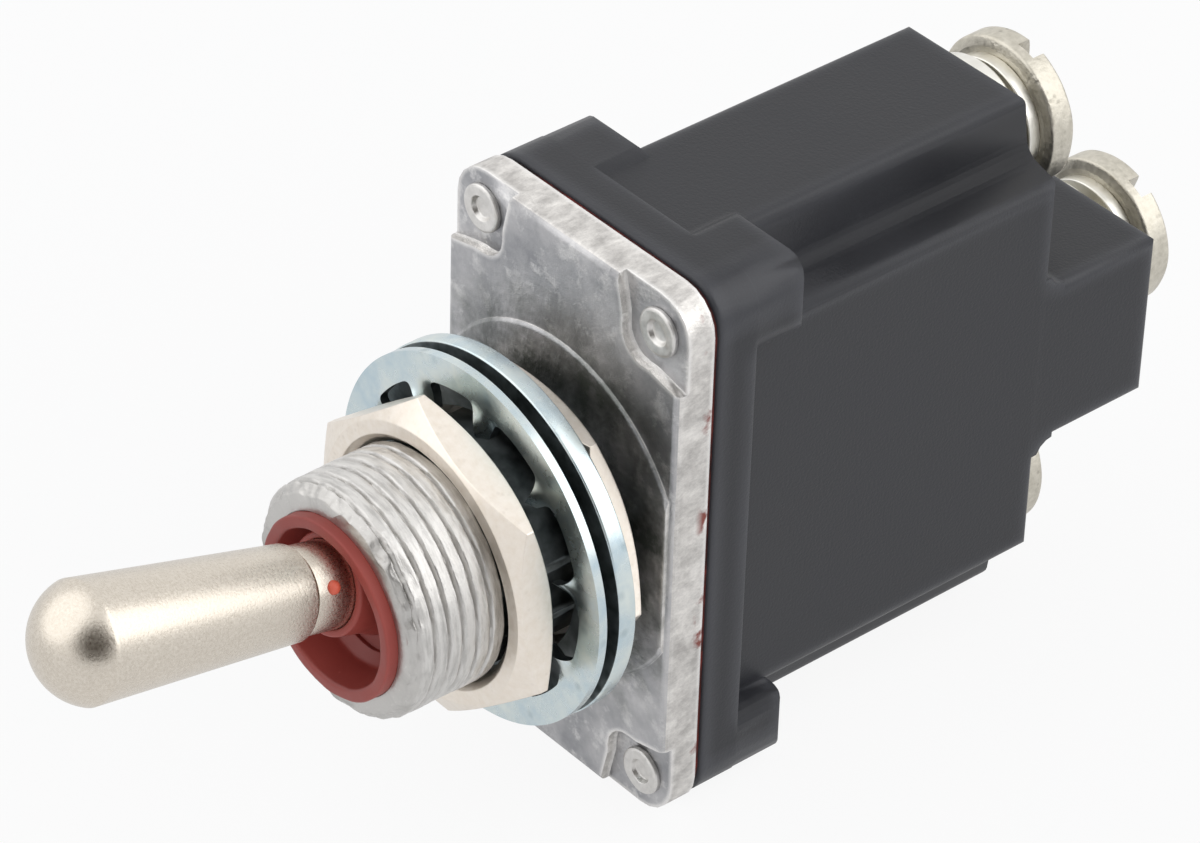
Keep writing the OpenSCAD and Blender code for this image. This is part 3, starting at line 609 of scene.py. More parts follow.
# %% Dress
def dress(piece, material, body, slot, *replaced):
    piece.data.materials.clear()
    piece.data.materials.append(material)
    if body:
        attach(piece, body)
    if replaced:
        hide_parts(*replaced)
    print(piece.name, len(piece.data.polygons), "faces")
    return piece


# %% [markdown]
# ## Geometry Nodes helpers
#
# A tree is built in code like a shader tree. Its inputs are named, so the same tree can serve the next
# switch with other sizes. The last two nodes are always Realize Instances and Set Material, and the result
# is turned into a plain mesh, because an exported file can hold neither modifiers nor instances.

# %% Tree helpers
class Growth:
    """A Geometry Nodes tree under construction."""

    def __init__(self, name, **inputs):
        self.tree = bpy.data.node_groups.new(name, "GeometryNodeTree")
        kinds = {float: "NodeSocketFloat", int: "NodeSocketInt", bpy.types.Object: "NodeSocketObject",
                 bpy.types.Material: "NodeSocketMaterial"}
        self.tree.interface.new_socket("Geometry", in_out="INPUT", socket_type="NodeSocketGeometry")
        self.values = {}
        for label, value in inputs.items():
            kind = next(k for t, k in kinds.items() if isinstance(value, t))
            socket = self.tree.interface.new_socket(label, in_out="INPUT", socket_type=kind)
            self.values[socket.identifier] = value
        self.tree.interface.new_socket("Geometry", in_out="OUTPUT", socket_type="NodeSocketGeometry")
        self.given = self.tree.nodes.new("NodeGroupInput").outputs

    def node(self, kind, links=None, **settings):
        return put(self.tree, kind, links, **settings)

    def calc(self, how, a, b=0.0, c=0.0):
        return self.node("ShaderNodeMath", {0: a, 1: b, 2: c}, operation=how).outputs[0]

    def here(self):
        """The x, y and z of the point that the tree works on."""
        place = self.node("GeometryNodeInputPosition").outputs[0]
        return tuple(self.node("ShaderNodeSeparateXYZ", {0: place}).outputs)

    def vector(self, x=0.0, y=0.0, z=0.0):
        return self.node("ShaderNodeCombineXYZ", {0: x, 1: y, 2: z}).outputs[0]

    def lumps(self, scale, detail):
        return self.node("ShaderNodeTexNoise", {"Scale": scale, "Detail": detail}).outputs["Fac"]

    def end(self, geometry):
        whole = self.node("GeometryNodeRealizeInstances", {0: geometry}).outputs[0]
        dyed = self.node("GeometryNodeSetMaterial", {0: whole, "Material": self.given["material"]})
        out = self.tree.nodes.new("NodeGroupOutput")
        self.tree.links.new(dyed.outputs[0], out.inputs[0])

    def grow(self, name, places=((0, 0, 0),), turns=()):
        """Runs the tree on a host with a vertex at each place, and gives back a plain piece."""
        mesh = bpy.data.meshes.new(name + " host")
        mesh.from_pydata(places, [], [])
        if turns:
            marks = mesh.attributes.new("turn", "FLOAT_VECTOR", "POINT")
            for mark, turn in zip(marks.data, turns):
                mark.vector = turn
        host = bpy.data.objects.new(name, mesh)
        bpy.context.scene.collection.objects.link(host)
        modifier = host.modifiers.new("growth", "NODES")
        modifier.node_group = self.tree
        for identifier, value in self.values.items():
            modifier[identifier] = value
        return settle(host)


print("trees end in Realize Instances and Set Material")

# %% [markdown]
# ## The threaded nose of the bushing
#
# A thread is a surface that follows a rule: its radius depends on how far forward a point is and on its
# angle. So the nose starts as a plain cylinder with many rings, and Set Position moves each point in or out
# by that rule, with a little noise for the rough casting. A mouth chamfer cuts the first turns down, and
# two solids are taken away: the bore, and the keyway down the side.

# %% Thread tree
CREST, ROOT, PITCH = 5.95 * MM, 5.62 * MM, 25.4 / 32 * MM
THREAD_START = 39.7
nose_back = front_nut[1] - 0.25 * MM
thread = Growth("threaded nose", crest=CREST, root=ROOT, pitch=PITCH, length=mouth - nose_back,
                chamfer=0.6 * MM, bore=4.53 * MM, key_width=2.4 * MM, key_floor=5.0 * MM,
                key_end=front_nut[1] + 0.74 * MM - nose_back, wear=0.20 * MM, material=thread_metal)
g = thread.given
rod = thread.node("GeometryNodeMeshCylinder", {"Vertices": 256, "Side Segments": 112, "Radius": g["crest"],
                                               "Depth": g["length"]})
x, y, z = thread.here()
angle = thread.calc("DIVIDE", thread.calc("ARCTAN2", y, x), 2 * math.pi)
turns_up = thread.calc("ADD", thread.calc("DIVIDE", z, g["pitch"]), thread.calc("ADD", angle, THREAD_START))
phase = thread.calc("FRACT", turns_up)
ridge = thread.calc("ABSOLUTE", thread.calc("SUBTRACT", thread.calc("MULTIPLY", phase, 2.0), 1.0))
ridge = between(thread.tree, ridge, 0.02, 0.34, interpolation_type="SMOOTHSTEP")
depth = thread.calc("SUBTRACT", g["crest"], g["root"])
print("thread pitch in mm:", round(PITCH / MM, 3))

# %% Wear, chamfer and lumps
worn = thread.calc("ADD", thread.calc("MULTIPLY", thread.lumps(900.0, 3.0), 0.6),
                   thread.calc("MULTIPLY", thread.lumps(260.0, 2.0), 0.8))
worn = thread.calc("MULTIPLY", thread.calc("MULTIPLY", worn, g["wear"]), ridge)
radius = thread.calc("SUBTRACT", thread.calc("MULTIPLY_ADD", depth, ridge, g["root"]), worn)
to_mouth = thread.calc("SUBTRACT", thread.calc("DIVIDE", g["length"], 2.0), z)
slope = thread.calc("ADD", thread.calc("SUBTRACT", g["crest"], g["chamfer"]), to_mouth)
radius = thread.calc("SMOOTH_MIN", radius, slope, 0.12 * MM)
bumps = between(thread.tree, thread.lumps(1100.0, 2.0), 0.42, 0.62)
at_mouth = between(thread.tree, to_mouth, 1.0 * MM, 0.3 * MM, 0.0, 0.16 * MM)
radius = thread.calc("SUBTRACT", radius, thread.calc("MULTIPLY", bumps, at_mouth))
print("tree so far:", len(thread.tree.nodes), "nodes")

# %% Move the points
reach = thread.calc("SQRT", thread.calc("ADD", thread.calc("MULTIPLY", x, x), thread.calc("MULTIPLY", y, y)))
share = thread.calc("DIVIDE", radius, reach)
moved = thread.vector(thread.calc("MULTIPLY", x, share), thread.calc("MULTIPLY", y, share), z)
shaped = thread.node("GeometryNodeSetPosition", {0: rod.outputs["Mesh"], "Position": moved}).outputs[0]
print("tree with moved points:", len(thread.tree.nodes), "nodes")

# %% Cut the bore and the keyway
KEY_DEEP, KEY_LONG = 2 * MM, 20 * MM
drill = thread.node("GeometryNodeMeshCylinder", {"Vertices": 128, "Radius": g["bore"], "Depth": 0.1})
half_length = thread.calc("DIVIDE", g["length"], 2.0)
key_x = thread.calc("ADD", g["key_floor"], KEY_DEEP / 2)
key_z = thread.calc("SUBTRACT", thread.calc("SUBTRACT", g["key_end"], half_length), KEY_LONG / 2)
key = thread.node("GeometryNodeMeshCube", {"Size": thread.vector(KEY_DEEP, g["key_width"], KEY_LONG)})
key = thread.node("GeometryNodeTransform", {0: key.outputs["Mesh"],
                                            "Translation": thread.vector(key_x, 0.0, key_z)})
cut = thread.node("GeometryNodeMeshBoolean", {0: shaped, 1: key.outputs[0]}, operation="DIFFERENCE")
thread.tree.links.new(drill.outputs["Mesh"], cut.inputs[1])
thread.end(cut.outputs["Mesh"])
nose = thread.grow("threaded_nose")
nose.data.transform(ON_BUSHING @ Matrix.Translation((0, 0, (mouth + nose_back) / 2)))
close_up(nose, 50)
print("nose faces:", len(nose.data.polygons))

# %% [markdown]
# ## The flange behind it
#
# The flange's plate, pad and pockets are right in the solid, so a merged copy is used. Its thread stretch
# is cut off where the new nose takes over, and the two overlap a little so that no gap shows.

# %% Flange plate
flange = copy_of("mounting_flange", "flange_plate", cut_at=nose_back + 0.1 * MM)
dress(flange, die_cast, "housing", "cast_metal", "mounting_flange")
dress(nose, thread_metal, "housing", "cast_metal")

# %% [markdown]
# ## Nuts
#
# A nut is a hexagon whose corners were turned off by a cone at both faces. Points are set round it at every
# few degrees: on the bore, on the circle where the cone starts, and on the hexagon, where the cone has
# dropped by the distance that the point lies outside that circle. The corners get their own points, so they
# stay crisp.

# %% Hexagon nut
STEPS, CONE = 18, math.radians(30)


def far_corner(node):
    """The corner of a nut that lies furthest from the bushing's axis."""
    return max((v.co for v in frame["nodes"][node].data.vertices), key=lambda c: math.hypot(c.x, c.z))


def hex_nut(node, name, corner_r, face_r, bore, sink):
    """A nut in the place of a solid nut, turned as that one is, with both faces chamfered."""
    back, front = (v / MM for v in forward(node))
    far = far_corner(node)
    first = math.atan2(far.z, far.x)
    points = []
    for k in range(6 * STEPS):
        local = k % STEPS / STEPS * math.pi / 3
        reach = corner_r * math.cos(math.pi / 6) / math.cos(local - math.pi / 6)
        drop = max(0.0, reach - face_r) * math.tan(CONE)
        inside = min(face_r, reach - 0.02)
        turn = first + k / STEPS * math.pi / 3
        for r, height in ((inside, back), (bore, back), (bore, front - sink), (bore + sink, front),
                          (inside, front), (reach, front - drop), (reach, back + drop)):
            points.append(ON_BUSHING @ (round_about(r, turn, height) * MM))
    return make_piece(name, points, join_rings(6 * STEPS, 7), 18)


corner = far_corner("front_nut")
nut_r = math.hypot(corner.x, corner.z) / MM
print("nut across corners in mm:", round(2 * nut_r, 2))

# %% Front and rear nut
for node in ("front_nut", "rear_nut"):
    nut = hex_nut(node, "plated_" + node, nut_r, face_r=nut_r * 0.84, bore=5.76, sink=0.5)
    dress(nut, champagne_plate, "housing", "nut_plating", node)

# %% [markdown]
# ## Locking ring
#
# Behind the washer sits a flat zinc ring with an eased rim. A rectangle is its whole profile, so it is
# spun.

# %% Locking ring
RING_BORE = 6.1
ring_back, ring_front = forward("locking_ring")
RING_R = wide("locking_ring")
ring = spin("zinc_locking_ring", [
    (RING_BORE, ring_back / MM), (RING_R / MM, ring_back / MM, .1), (RING_R / MM, ring_front / MM, .12),
    (RING_BORE, ring_front / MM)], ON_BUSHING, 144, closed=True)
dress(ring, blue_zinc, "housing", "zinc_plating", "locking_ring")

# %% [markdown]
# ## Painted shade in the gaps
#
# Little light reaches the ring behind the washer, the washer under the nut, and the thread between the
# nuts. Those faces get a second, dark material, which paints that shade on them. A mesh may hold several,
# and each face knows the number of its own.

# %% Painted shade
SHANK_R = 6.6 * MM


def paint_shade(piece, where):
    """Paints shade on the faces for which where says so, from their radius, their place forward and their
    normal.
    """
    piece.data.materials.append(shaded_zinc)
    for face in piece.data.polygons:
        if where(math.hypot(face.center.x, face.center.z), -face.center.y, face.normal):
            face.material_index = 1
    print(piece.name, "dark faces:", sum(face.material_index for face in piece.data.polygons))


# Painted shade on the ring's face behind the washer and on the flange's thread between the nuts.
paint_shade(ring, lambda r, f, n: r < RING_R * 0.93 or n.y < -0.9)
paint_shade(flange, lambda r, f, n: r < SHANK_R and f > 0.3 * MM)

# %% [markdown]
# ## The tooth washer
#
# Its teeth are tabs that the press twists out of the washer's plane, with round bites between them. One
# grid, as wide as a tooth and its two half bites, is bent into a wedge of the ring by a rule: the inner
# edge runs in to the tip at the tooth and out again at the bites, and the tooth tilts as it goes inwards.
# Ten wedges make the ring, and Extrude Mesh gives it its thickness.

# %% Outline of one tooth
WASHER_R = wide("tooth_washer")
washer = Growth("tooth washer", count=10, rim=WASHER_R, bite=7.75 * MM, tip=6.2 * MM, thickness=0.45 * MM,
                tooth=0.065, twist=0.9, first=math.radians(10.5), material=blue_zinc)
g = washer.given
grid = washer.node("GeometryNodeMeshGrid", {"Size X": 1.0, "Size Y": 1.0, "Vertices X": 121,
                                            "Vertices Y": 10})
along, across, _ = washer.here()
inwards = washer.calc("ADD", across, 0.5)
bite = between(washer.tree, washer.calc("ABSOLUTE", along), g["tooth"], washer.calc("ADD", g["tooth"], 0.2),
               1.0, 0.0)
bite = washer.calc("SQRT", washer.calc("SUBTRACT", 1.0, washer.calc("MULTIPLY", bite, bite)))
edge = washer.calc("MULTIPLY_ADD", washer.calc("SUBTRACT", g["bite"], g["tip"]), bite, g["tip"])
radius = washer.calc("MULTIPLY_ADD", washer.calc("SUBTRACT", edge, g["rim"]), inwards, g["rim"])
print("washer radius in mm:", round(WASHER_R / MM, 2))

# %% Bend and twist the wedge
pitch = washer.calc("DIVIDE", 2 * math.pi, g["count"])
angle = washer.calc("MULTIPLY", along, pitch)
lean = between(washer.tree, radius, g["bite"], washer.calc("ADD", g["tip"], 0.4 * MM),
               interpolation_type="SMOOTHSTEP")
from_middle = washer.calc("MULTIPLY", angle, radius)
rise = washer.calc("MULTIPLY", washer.calc("MULTIPLY", from_middle, lean), g["twist"])
spot = washer.vector(washer.calc("MULTIPLY", radius, washer.calc("COSINE", angle)),
                     washer.calc("MULTIPLY", radius, washer.calc("SINE", angle)), rise)
wedge = washer.node("GeometryNodeSetPosition", {0: grid.outputs["Mesh"], "Position": spot}).outputs[0]
print("tree so far:", len(washer.tree.nodes), "nodes")

# %% Ring of wedges
places = washer.node("GeometryNodeMeshLine", {"Count": g["count"], "Offset": (0, 0, 0)}).outputs[0]
index = washer.node("GeometryNodeInputIndex").outputs[0]
turn = washer.calc("MULTIPLY_ADD", index, pitch, g["first"])
wedges = washer.node("GeometryNodeInstanceOnPoints", {"Points": places, "Instance": wedge,
                                                      "Rotation": washer.vector(z=turn)}).outputs[0]
sheet = washer.node("GeometryNodeRealizeInstances", {0: wedges}).outputs[0]
sheet = washer.node("GeometryNodeMergeByDistance", {0: sheet, "Distance": 0.01 * MM}).outputs[0]
raised = washer.node("GeometryNodeExtrudeMesh", {0: sheet, "Offset": washer.vector(z=g["thickness"]),
                                                 "Offset Scale": 1.0, "Individual": False})
whole = washer.node("GeometryNodeJoinGeometry")
washer.tree.links.new(raised.outputs["Mesh"], whole.inputs[0])
washer.tree.links.new(washer.node("GeometryNodeFlipFaces", {0: sheet}).outputs[0], whole.inputs[0])
shell = washer.node("GeometryNodeMergeByDistance", {0: whole.outputs[0], "Distance": 0.01 * MM})
washer.end(shell.outputs[0])
print("tree complete:", len(washer.tree.nodes), "nodes")

# %% Grow the washer
TEETH_REACH = 7.95 * MM
toothed = washer.grow("zinc_tooth_washer")
toothed.data.transform(ON_BUSHING @ Matrix.Translation((0, 0, ring_front + 0.7 * MM)))
dress(close_up(toothed, 35), blue_zinc, "housing", "zinc_plating", "tooth_washer")
# Painted shade on the washer's teeth and inner faces under the nut.
paint_shade(toothed, lambda r, f, n: r < TEETH_REACH and n.y > -0.7)

# %% [markdown]
# ## Rivets and screws
#
# The four hollow rivets are alike, and so are the three screws, so each is turned once and then set in its
# places with Instance on Points. Every place carries its own turn about the axis, because nobody lines up
# slots, and a rolled rivet is never quite round.

# %% Tree that sets copies in place
def set_in_places(name, pattern, places, turns, material):
    """Instances the object pattern at places in metres, and gives each copy its own turn."""
    layout = Growth(name + " layout", pattern=pattern, material=material)
    own_turn = layout.node("GeometryNodeInputNamedAttribute", {"Name": "turn"}, data_type="FLOAT_VECTOR")
    source = layout.node("GeometryNodeObjectInfo", {"Object": layout.given["pattern"]})
    copies = layout.node("GeometryNodeInstanceOnPoints",
                         {"Points": layout.given["Geometry"], "Instance": source.outputs["Geometry"],
                          "Rotation": own_turn.outputs[0]})
    layout.end(copies.outputs[0])
    piece = layout.grow(name, places, turns)
    bpy.data.objects.remove(pattern)
    return close_up(piece)


print("one tree will set both the rivets and the screws")

# %% Rivets
rivets = ("rivet_top_left", "rivet_top_right", "rivet_bottom_left", "rivet_bottom_right")
back, head = (v / MM for v in forward(rivets[0]))
RIM, SHANK, HOLE = wide(rivets[0]) / MM, 0.9, 0.5
rivet = spin("rivet pattern", [
    (0, back + 0.3), (HOLE, back + 0.3, .1), (0.7, back, .12), (RIM, back, .12), (RIM, back + 0.3, .06),
    (SHANK, back + 0.3), (SHANK, head - 0.32), (RIM, head - 0.28, .08), (RIM, head - 0.06, .1),
    (RIM - 0.14, head, .1), (0.64, head - 0.02, .1), (HOLE, head - 0.26, .1), (0, head - 0.3)],
    Matrix.Identity(4), 48, wobble=0.03, wobble_size=0.7)
rivet.data.transform(ON_BUSHING)
rivet_set = set_in_places("rolled_rivets", rivet, [(centre(node).x, 0, centre(node).z) for node in rivets],
                          [(0, 0.4 * i, 0) for i in range(len(rivets))], bright_rivet)
dress(rivet_set, bright_rivet, "housing", "rivet_metal", *rivets)

# %% [markdown]
# ### The screws
#
# A pan head is a shallow dome with a rounded rim. Handling has knocked it about, so a little noise moves
# its points. The slot is cut by a long bar, and its lips are broken by a small bevel.

# %% Turn the screw
screws = ("terminal_screw_upper", "terminal_screw_middle", "terminal_screw_lower")
RISE, HEAD_THICK, SCREW_R = 0.8, 2.2, 1.7
head_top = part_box(screws[0])[1].y / MM
head_r = wide(screws[0]) / MM * 1.04
under = head_top - HEAD_THICK
dome = (head_r ** 2 + RISE ** 2) / (2 * RISE)
lean = math.asin(head_r / dome)
crown = [(0, head_top)] + [(dome * math.sin(lean * k / 14), head_top - dome + dome * math.cos(lean * k / 14))
                           for k in range(1, 14)]
screw = spin("screw pattern", crown + [
    (head_r, head_top - RISE, .4), (head_r, under + 0.15, .2), (head_r - 0.5, under, .1),
    (SCREW_R, under, .05), (SCREW_R, under - 4), (0, under - 4)],
    Matrix.Identity(4), 96, wobble=0.05, wobble_size=1.6)
print("head radius in mm:", round(head_r, 2))

# %% Cut the slot
SLOT = Matrix.Diagonal((1.05 * MM, 12 * MM, 3.0 * MM, 1))
bar = bpy.data.objects.new("slot cutter", bpy.data.meshes.new("slot cutter"))
work = bmesh.new()
bmesh.ops.create_cube(work, size=1.0, matrix=Matrix.Translation((0, 0, head_top * MM)) @ SLOT)
work.to_mesh(bar.data)
work.free()
bpy.context.scene.collection.objects.link(bar)
carve = screw.modifiers.new("slot", "BOOLEAN")
carve.object = bar
carve.operation = "DIFFERENCE"
soft = screw.modifiers.new("soft edges", "BEVEL")
soft.width, soft.segments = 0.06 * MM, 1
soft.limit_method, soft.angle_limit = "ANGLE", math.radians(50)
settle(screw)
bpy.data.objects.remove(bar)
print("screw faces:", len(screw.data.polygons))

# %% Set the screws
BACKWARD = Matrix(((1, 0, 0, 0), (0, 0, 1, 0), (0, -1, 0, 0), (0, 0, 0, 1)))
TURNS = [(0, math.radians(degrees), 0) for degrees in (15, 29, 52)]
screw.data.transform(BACKWARD)
tops = [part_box(node)[1].y for node in screws]
screw_set = set_in_places("terminal_screws", screw,
                          [(0, top - tops[0], centre(node).z) for node, top in zip(screws, tops)],
                          TURNS, screw_plate)
dress(screw_set, screw_plate, "housing", "screw_plating", *screws)

# %% [markdown]
# ### Lock washers and terminal plates
#
# The solids already have the split in the washer and the shape of the plate. Each copy only gets a small
# bevel, and the washer is made a little narrower, about its own middle, so that the head stands out over it.

# %% Lock washers and terminal plates
NARROWER = Matrix.Diagonal((0.92, 1, 0.92, 1))
for place in ("upper", "middle", "lower"):
    split = copy_of("lock_washer_" + place, "split_washer_" + place, 0.06)
    middle = Matrix.Translation(centre("lock_washer_" + place))
    split.data.transform(middle @ NARROWER @ middle.inverted())
    dress(split, bright_tin, "housing", "screw_plating", "lock_washer_" + place)
    plate = copy_of("terminal_" + place, "tinned_terminal_" + place, 0.05)
    dress(plate, bright_tin, "housing", "terminal_plating", "terminal_" + place)

# %% [markdown]
# ## The bat lever
#
# The lever is turned from bar: a neck, a fine groove, a sharp shoulder where the bat begins, a slow taper
# and a flat cap at the tip. Its plating is satin and even, so the profile is spun finely and left true. The
# ball and the tail, with its bore for the plunger, are inside.

# %% Profile of the bat
TIP_R, BAT_R, NECK_R, BALL_R, CAP_R = 2.84, 2.24, 2.05, 2.6, 2.98
SHOULDER = 8.15
TIP_AT = ((pivot.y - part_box("lever")[0].y) / MM - TIP_R) / -lever_axis.y
cap_at = TIP_AT + TIP_R - CAP_R
start = math.acos(TIP_R / CAP_R)
tip = [(CAP_R * math.cos(a), cap_at + CAP_R * math.sin(a))
       for a in [start + (math.pi / 2 - start) * k / 24 for k in range(24)]]
rim_at = tip[0][1]
taper = (TIP_R - BAT_R) / (rim_at - SHOULDER)
bat_side = [(TIP_R - taper * d, rim_at - d) for d in (0.06, 0.14, 0.4)]
print("shoulder to tip in mm:", round(TIP_AT + TIP_R - SHOULDER, 2))

# %% Lever
GROOVE_R, TAIL_R, BORE_R, TAIL_END, BORE_END = 1.85, 1.9, 1.25, -13.0, -6.9
neck_turn = math.acos(NECK_R / BALL_R)
ball = [(BALL_R * math.cos(a), BALL_R * math.sin(a)) for a in [neck_turn * (k / 6 - 1) for k in range(13)]]
bat = [(0, TIP_AT + TIP_R)] + tip[::-1] + bat_side + [
    (BAT_R, SHOULDER, .05), (GROOVE_R, SHOULDER - 0.03), (GROOVE_R, SHOULDER - 0.16),
    (NECK_R, SHOULDER - 0.2, .04)] + ball[::-1] + [
    (TAIL_R, -BALL_R), (TAIL_R, TAIL_END, .1), (BORE_R, TAIL_END), (BORE_R, BORE_END), (0, BORE_END)]
lever = spin("bat_lever", bat, ON_LEVER, 128, soften=30)
dress(lever, satin_nickel, "toggle", "satin_nickel", "lever")

# %% [markdown]
# ## A nib of rubber left on the neck
#
# When the seal was moulded round the neck, a drop of rubber stayed on the metal. It is a small round
# button, spun like the rest and laid on the neck with its axis pointing outwards.

# %% Nib
NIB_TURN, NIB_AT = 0.55, 7.1
outwards = Vector((math.cos(NIB_TURN), math.sin(NIB_TURN), 0))
nib_place = (ON_LEVER.to_3x3() @ outwards).to_track_quat("Z", "Y").to_matrix().to_4x4()
nib_place.translation = ON_LEVER @ ((outwards * NECK_R + Vector((0, 0, NIB_AT))) * MM)
nib = spin("rubber_nib", [(0, 0.3), (0.18, 0.25), (0.31, 0.11), (0.34, -0.05), (0.33, -0.1), (0, -0.1)],
           nib_place, 24, soften=80)
bright_rubber = moulded("bright rubber", ("#c9543f", "#d3614a", "#d3614a"), grain=3000.0, dust=0.0,
                        rough=(0.4, 0.5))
dress(nib, bright_rubber, "toggle", "red_rubber")

# %% [markdown]
# ## The rubber seal
#
# The seal fills the bushing's mouth: a wall against the bore, a thin web, and a collar that grips the neck.
# The wall is one piece on the housing, and the web with its collar is another: its collar is laid along the
# lever's axis, and its web round the bushing's.

# %% Seal wall
seal_back, seal_front = (v / MM for v in forward("lever_seal"))
SEAL_R = wide("lever_seal") / MM
wall = spin("seal_wall", [
    (3.45, seal_back + 0.1), (SEAL_R, seal_back + 0.1), (SEAL_R, seal_front, .12),
    (SEAL_R - 0.62, seal_front, .2), (SEAL_R - 0.85, seal_front - 1.9, .4), (3.1, seal_front - 2.3)],
    ON_BUSHING, 96, closed=True, wobble=0.03, wobble_size=0.8)
dress(wall, red_rubber, "housing", "red_rubber", "lever_seal")

# %% Seal web and collar
AROUND, GRIP_R, SKIRT_R, COLLAR_BACK = 96, 2.07, 2.75, 2.2
web_low, web_high = seal_back + 0.05, seal_front - 2.25
top = (seal_front - (-pivot.y / MM)) / -lever_axis.y
collar_path = round_corners([(GRIP_R, COLLAR_BACK), (GRIP_R, top, .1), (2.42, top - 0.05, .18),
                             (2.5, 4.4, .3), (SKIRT_R, 3.6, .3), (SKIRT_R, COLLAR_BACK)])
web_path = ((3.6, web_high - 0.05), (3.7, web_low), (1.7, web_low))
points = []
for k in range(AROUND):
    turn = 2 * math.pi * k / AROUND
    points += [ON_LEVER @ (round_about(p.x, turn, p.y) * MM) for p in collar_path]
    points += [ON_BUSHING @ (round_about(r, turn, h) * MM) for r, h in web_path]
collar = make_piece("seal_collar", points, join_rings(AROUND, len(collar_path) + len(web_path)), 50)
dress(collar, red_rubber, None, "red_rubber")
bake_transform(collar)

# %% [markdown]
# ## Gasket and case
#
# The gasket is a thin red sheet between flange and case. The case is the most skilful moulding of the
# switch, and its ledges, bosses and stepped block are all in the solid. Copies of both are true to them,
# and the finish rounds the case's edges in the light.

# %% Gasket and case
dress(copy_of("flange_gasket", "rubber_gasket"), gasket_rubber, "housing", "red_rubber", "flange_gasket")
dress(copy_of("case", "moulded_case"), charcoal, "housing", "case_plastic", "case")

# %% [markdown]
# ## Hidden works
#
# The pieces inside keep their solids and only take a finish, so a cut-away view still reads well.

# %% Finishes for the works
WORKS = {"lever_pivot_pin": plain_steel, "pivot_retainer": yellow_brass, "plunger": black_nylon,
         "rocker_contact": contact_copper, "rocker_pin": plain_steel, "rocker_support": yellow_brass,
         "moving_contact_upper": bright_rivet, "moving_contact_lower": bright_rivet,
         "fixed_contact_upper": bright_rivet, "fixed_contact_lower": bright_rivet}
for node, material in WORKS.items():
    solid = frame["nodes"][node]
    solid.data.materials.clear()
    solid.data.materials.append(material)
print("hidden works dressed:", len(WORKS))

# %% [markdown]
# ## The plunger's spring
#
# One end of the spring sits in the lever and the other on the plunger. A copy of its solid is dressed in
# steel and set on neither body.

# %% Spring
coil = copy_of("plunger_spring", "coil_spring")
dress(coil, plain_steel, None, "steel", "plunger_spring")
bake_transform(coil)

# %% [markdown]
# ## Studio
#
# The switch stands on a pale floor under soft light. The camera looks down on it from the lever's side with
# a long lens. The backdrop is white to the camera, to glossy reflections and through glass, and plain grey
# to everything else, so that the white never adds light to the switch. A room has a dark side too: one soft
# dark doorway, which only reflections see, gives the bright metal its darker tones.

# %% Floor
floor_z = cad_box[0].z - 0.02 * MM
corners = ((-3, -3), (3, -3), (3, 3), (-3, 3))
floor = make_piece("floor", [(x, y, floor_z) for x, y in corners], [(0, 1, 2, 3)])
paper = bpy.data.materials.new("white paper")
paper.use_nodes = True
tree = paper.node_tree
shader = tree.nodes["Principled BSDF"]
shader.inputs["Base Color"].default_value = (0.8, 0.8, 0.8, 1)
shader.inputs["Roughness"].default_value = 0.9
rays = put(tree, "ShaderNodeLightPath").outputs
glow = put(tree, "ShaderNodeEmission", {"Color": (1, 1, 1, 1), "Strength": 1.0}).outputs[0]
seen = combine(tree, combine(tree, rays["Is Camera Ray"], rays["Is Transmission Ray"], "ADD"), 0.9)
seen = combine(tree, seen, combine(tree, rays["Is Glossy Ray"], 0.55), "ADD")
lit = put(tree, "ShaderNodeMixShader", {0: seen, 1: shader.outputs[0], 2: glow}).outputs[0]
tree.links.new(lit, tree.nodes["Material Output"].inputs["Surface"])
floor.data.materials.append(paper)
print("floor at z in mm:", round(floor_z / MM, 2))

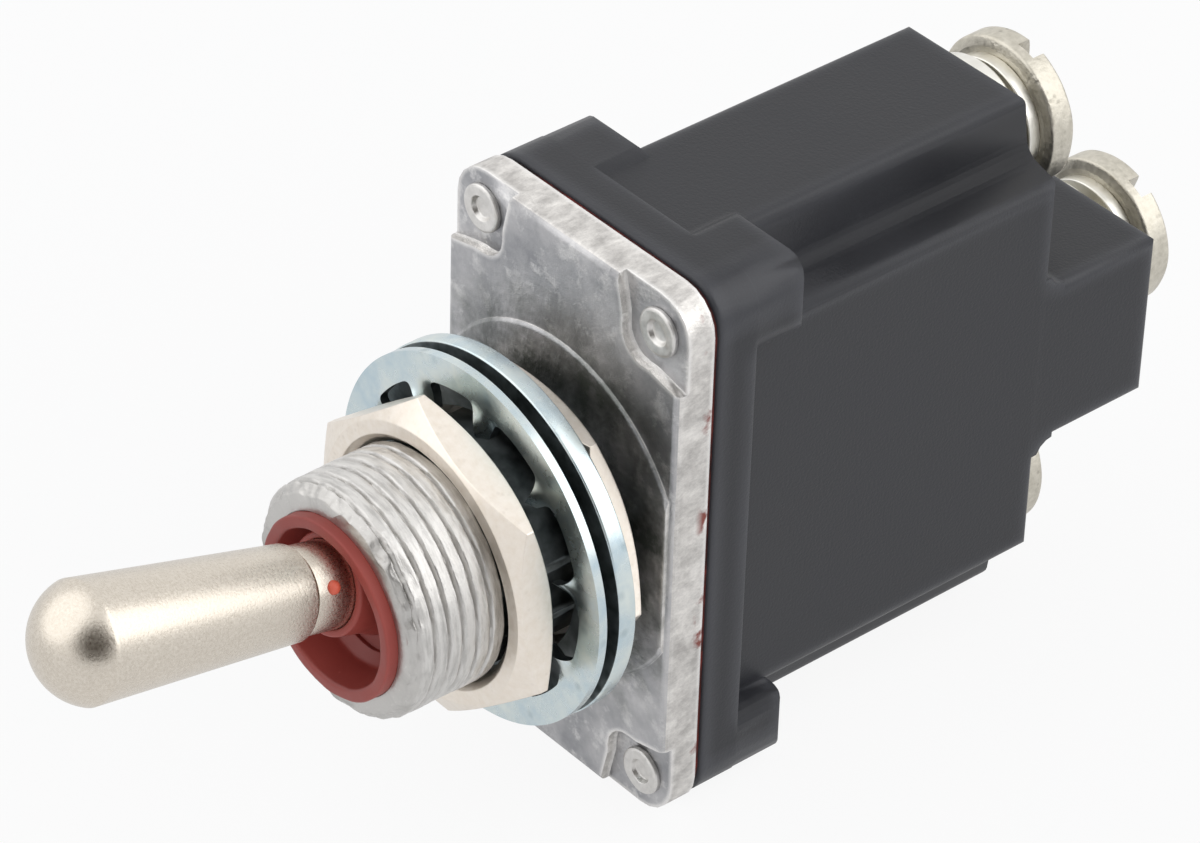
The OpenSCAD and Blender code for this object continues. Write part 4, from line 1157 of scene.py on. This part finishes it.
# %% World
DOORWAY = (0.72, -0.50, 0.485)
world = bpy.data.worlds.new("studio")
bpy.context.scene.world = world
world.use_nodes = True
tree = world.node_tree
rays = put(tree, "ShaderNodeLightPath").outputs
seen = combine(tree, rays["Is Camera Ray"], rays["Is Transmission Ray"], "ADD")
seen = combine(tree, seen, rays["Is Glossy Ray"], "ADD")
looking = put(tree, "ShaderNodeTexCoord").outputs["Generated"]
towards = put(tree, "ShaderNodeVectorMath", {0: looking, 1: DOORWAY}, operation="DOT_PRODUCT")
doorway = combine(tree, between(tree, towards.outputs["Value"], 0.74, 0.95), rays["Is Glossy Ray"])
room = mix_colours(tree, doorway, (1, 1, 1, 1), (0.08, 0.07, 0.06, 1))
backdrop = tree.nodes["Background"]
tree.links.new(mix_colours(tree, seen, (0.50, 0.51, 0.53, 1), room), backdrop.inputs["Color"])
backdrop.inputs["Strength"].default_value = 1.0
print("world:", world.name)


# %% Lamps
def softbox(name, spot, size, watts):
    """A round area lamp that faces the switch."""
    lamp = bpy.data.lights.new(name, "AREA")
    lamp.shape, lamp.size, lamp.energy = "DISK", size, watts
    box = bpy.data.objects.new(name, lamp)
    box.location = spot
    box.rotation_euler = (-Vector(spot)).to_track_quat("-Z", "Y").to_euler()
    bpy.context.scene.collection.objects.link(box)
    return box


softbox("key", (-0.5, -0.6, 0.75), 1.8, 4.5)
softbox("fill", (1.0, -0.4, 0.25), 1.6, 6.0).visible_glossy = False
softbox("rim", (0.55, 0.5, 0.56), 1.1, 3.2)

# %% Camera
azimuth, elevation, roll = math.radians(48.67), math.radians(36.54), math.radians(1.85)
DISTANCE, SHIFT_RIGHT, SHIFT_UP = 260, 1.71, 3.28
back_to = Vector((math.sin(azimuth) * math.cos(elevation), -math.cos(azimuth) * math.cos(elevation),
                  math.sin(elevation)))
level = Vector((math.cos(azimuth), math.sin(azimuth), 0))
upright = back_to.cross(level)
right = math.cos(roll) * level + math.sin(roll) * upright
up = -math.sin(roll) * level + math.cos(roll) * upright
eye = (back_to * DISTANCE + right * SHIFT_RIGHT + up * SHIFT_UP + Vector((0, 0.6, 0))) * MM
lens = bpy.data.cameras.new("camera")
lens.sensor_width = 36
lens.lens = 170.73
lens.clip_start = 0.01
camera = bpy.data.objects.new("camera", lens)
view = Matrix((right, up, back_to)).transposed().to_4x4()
view.translation = eye
camera.matrix_world = view
bpy.context.scene.collection.objects.link(camera)
bpy.context.scene.camera = camera
bpy.context.scene.view_settings.view_transform = "Standard"
print("lens in mm:", round(lens.lens, 1))
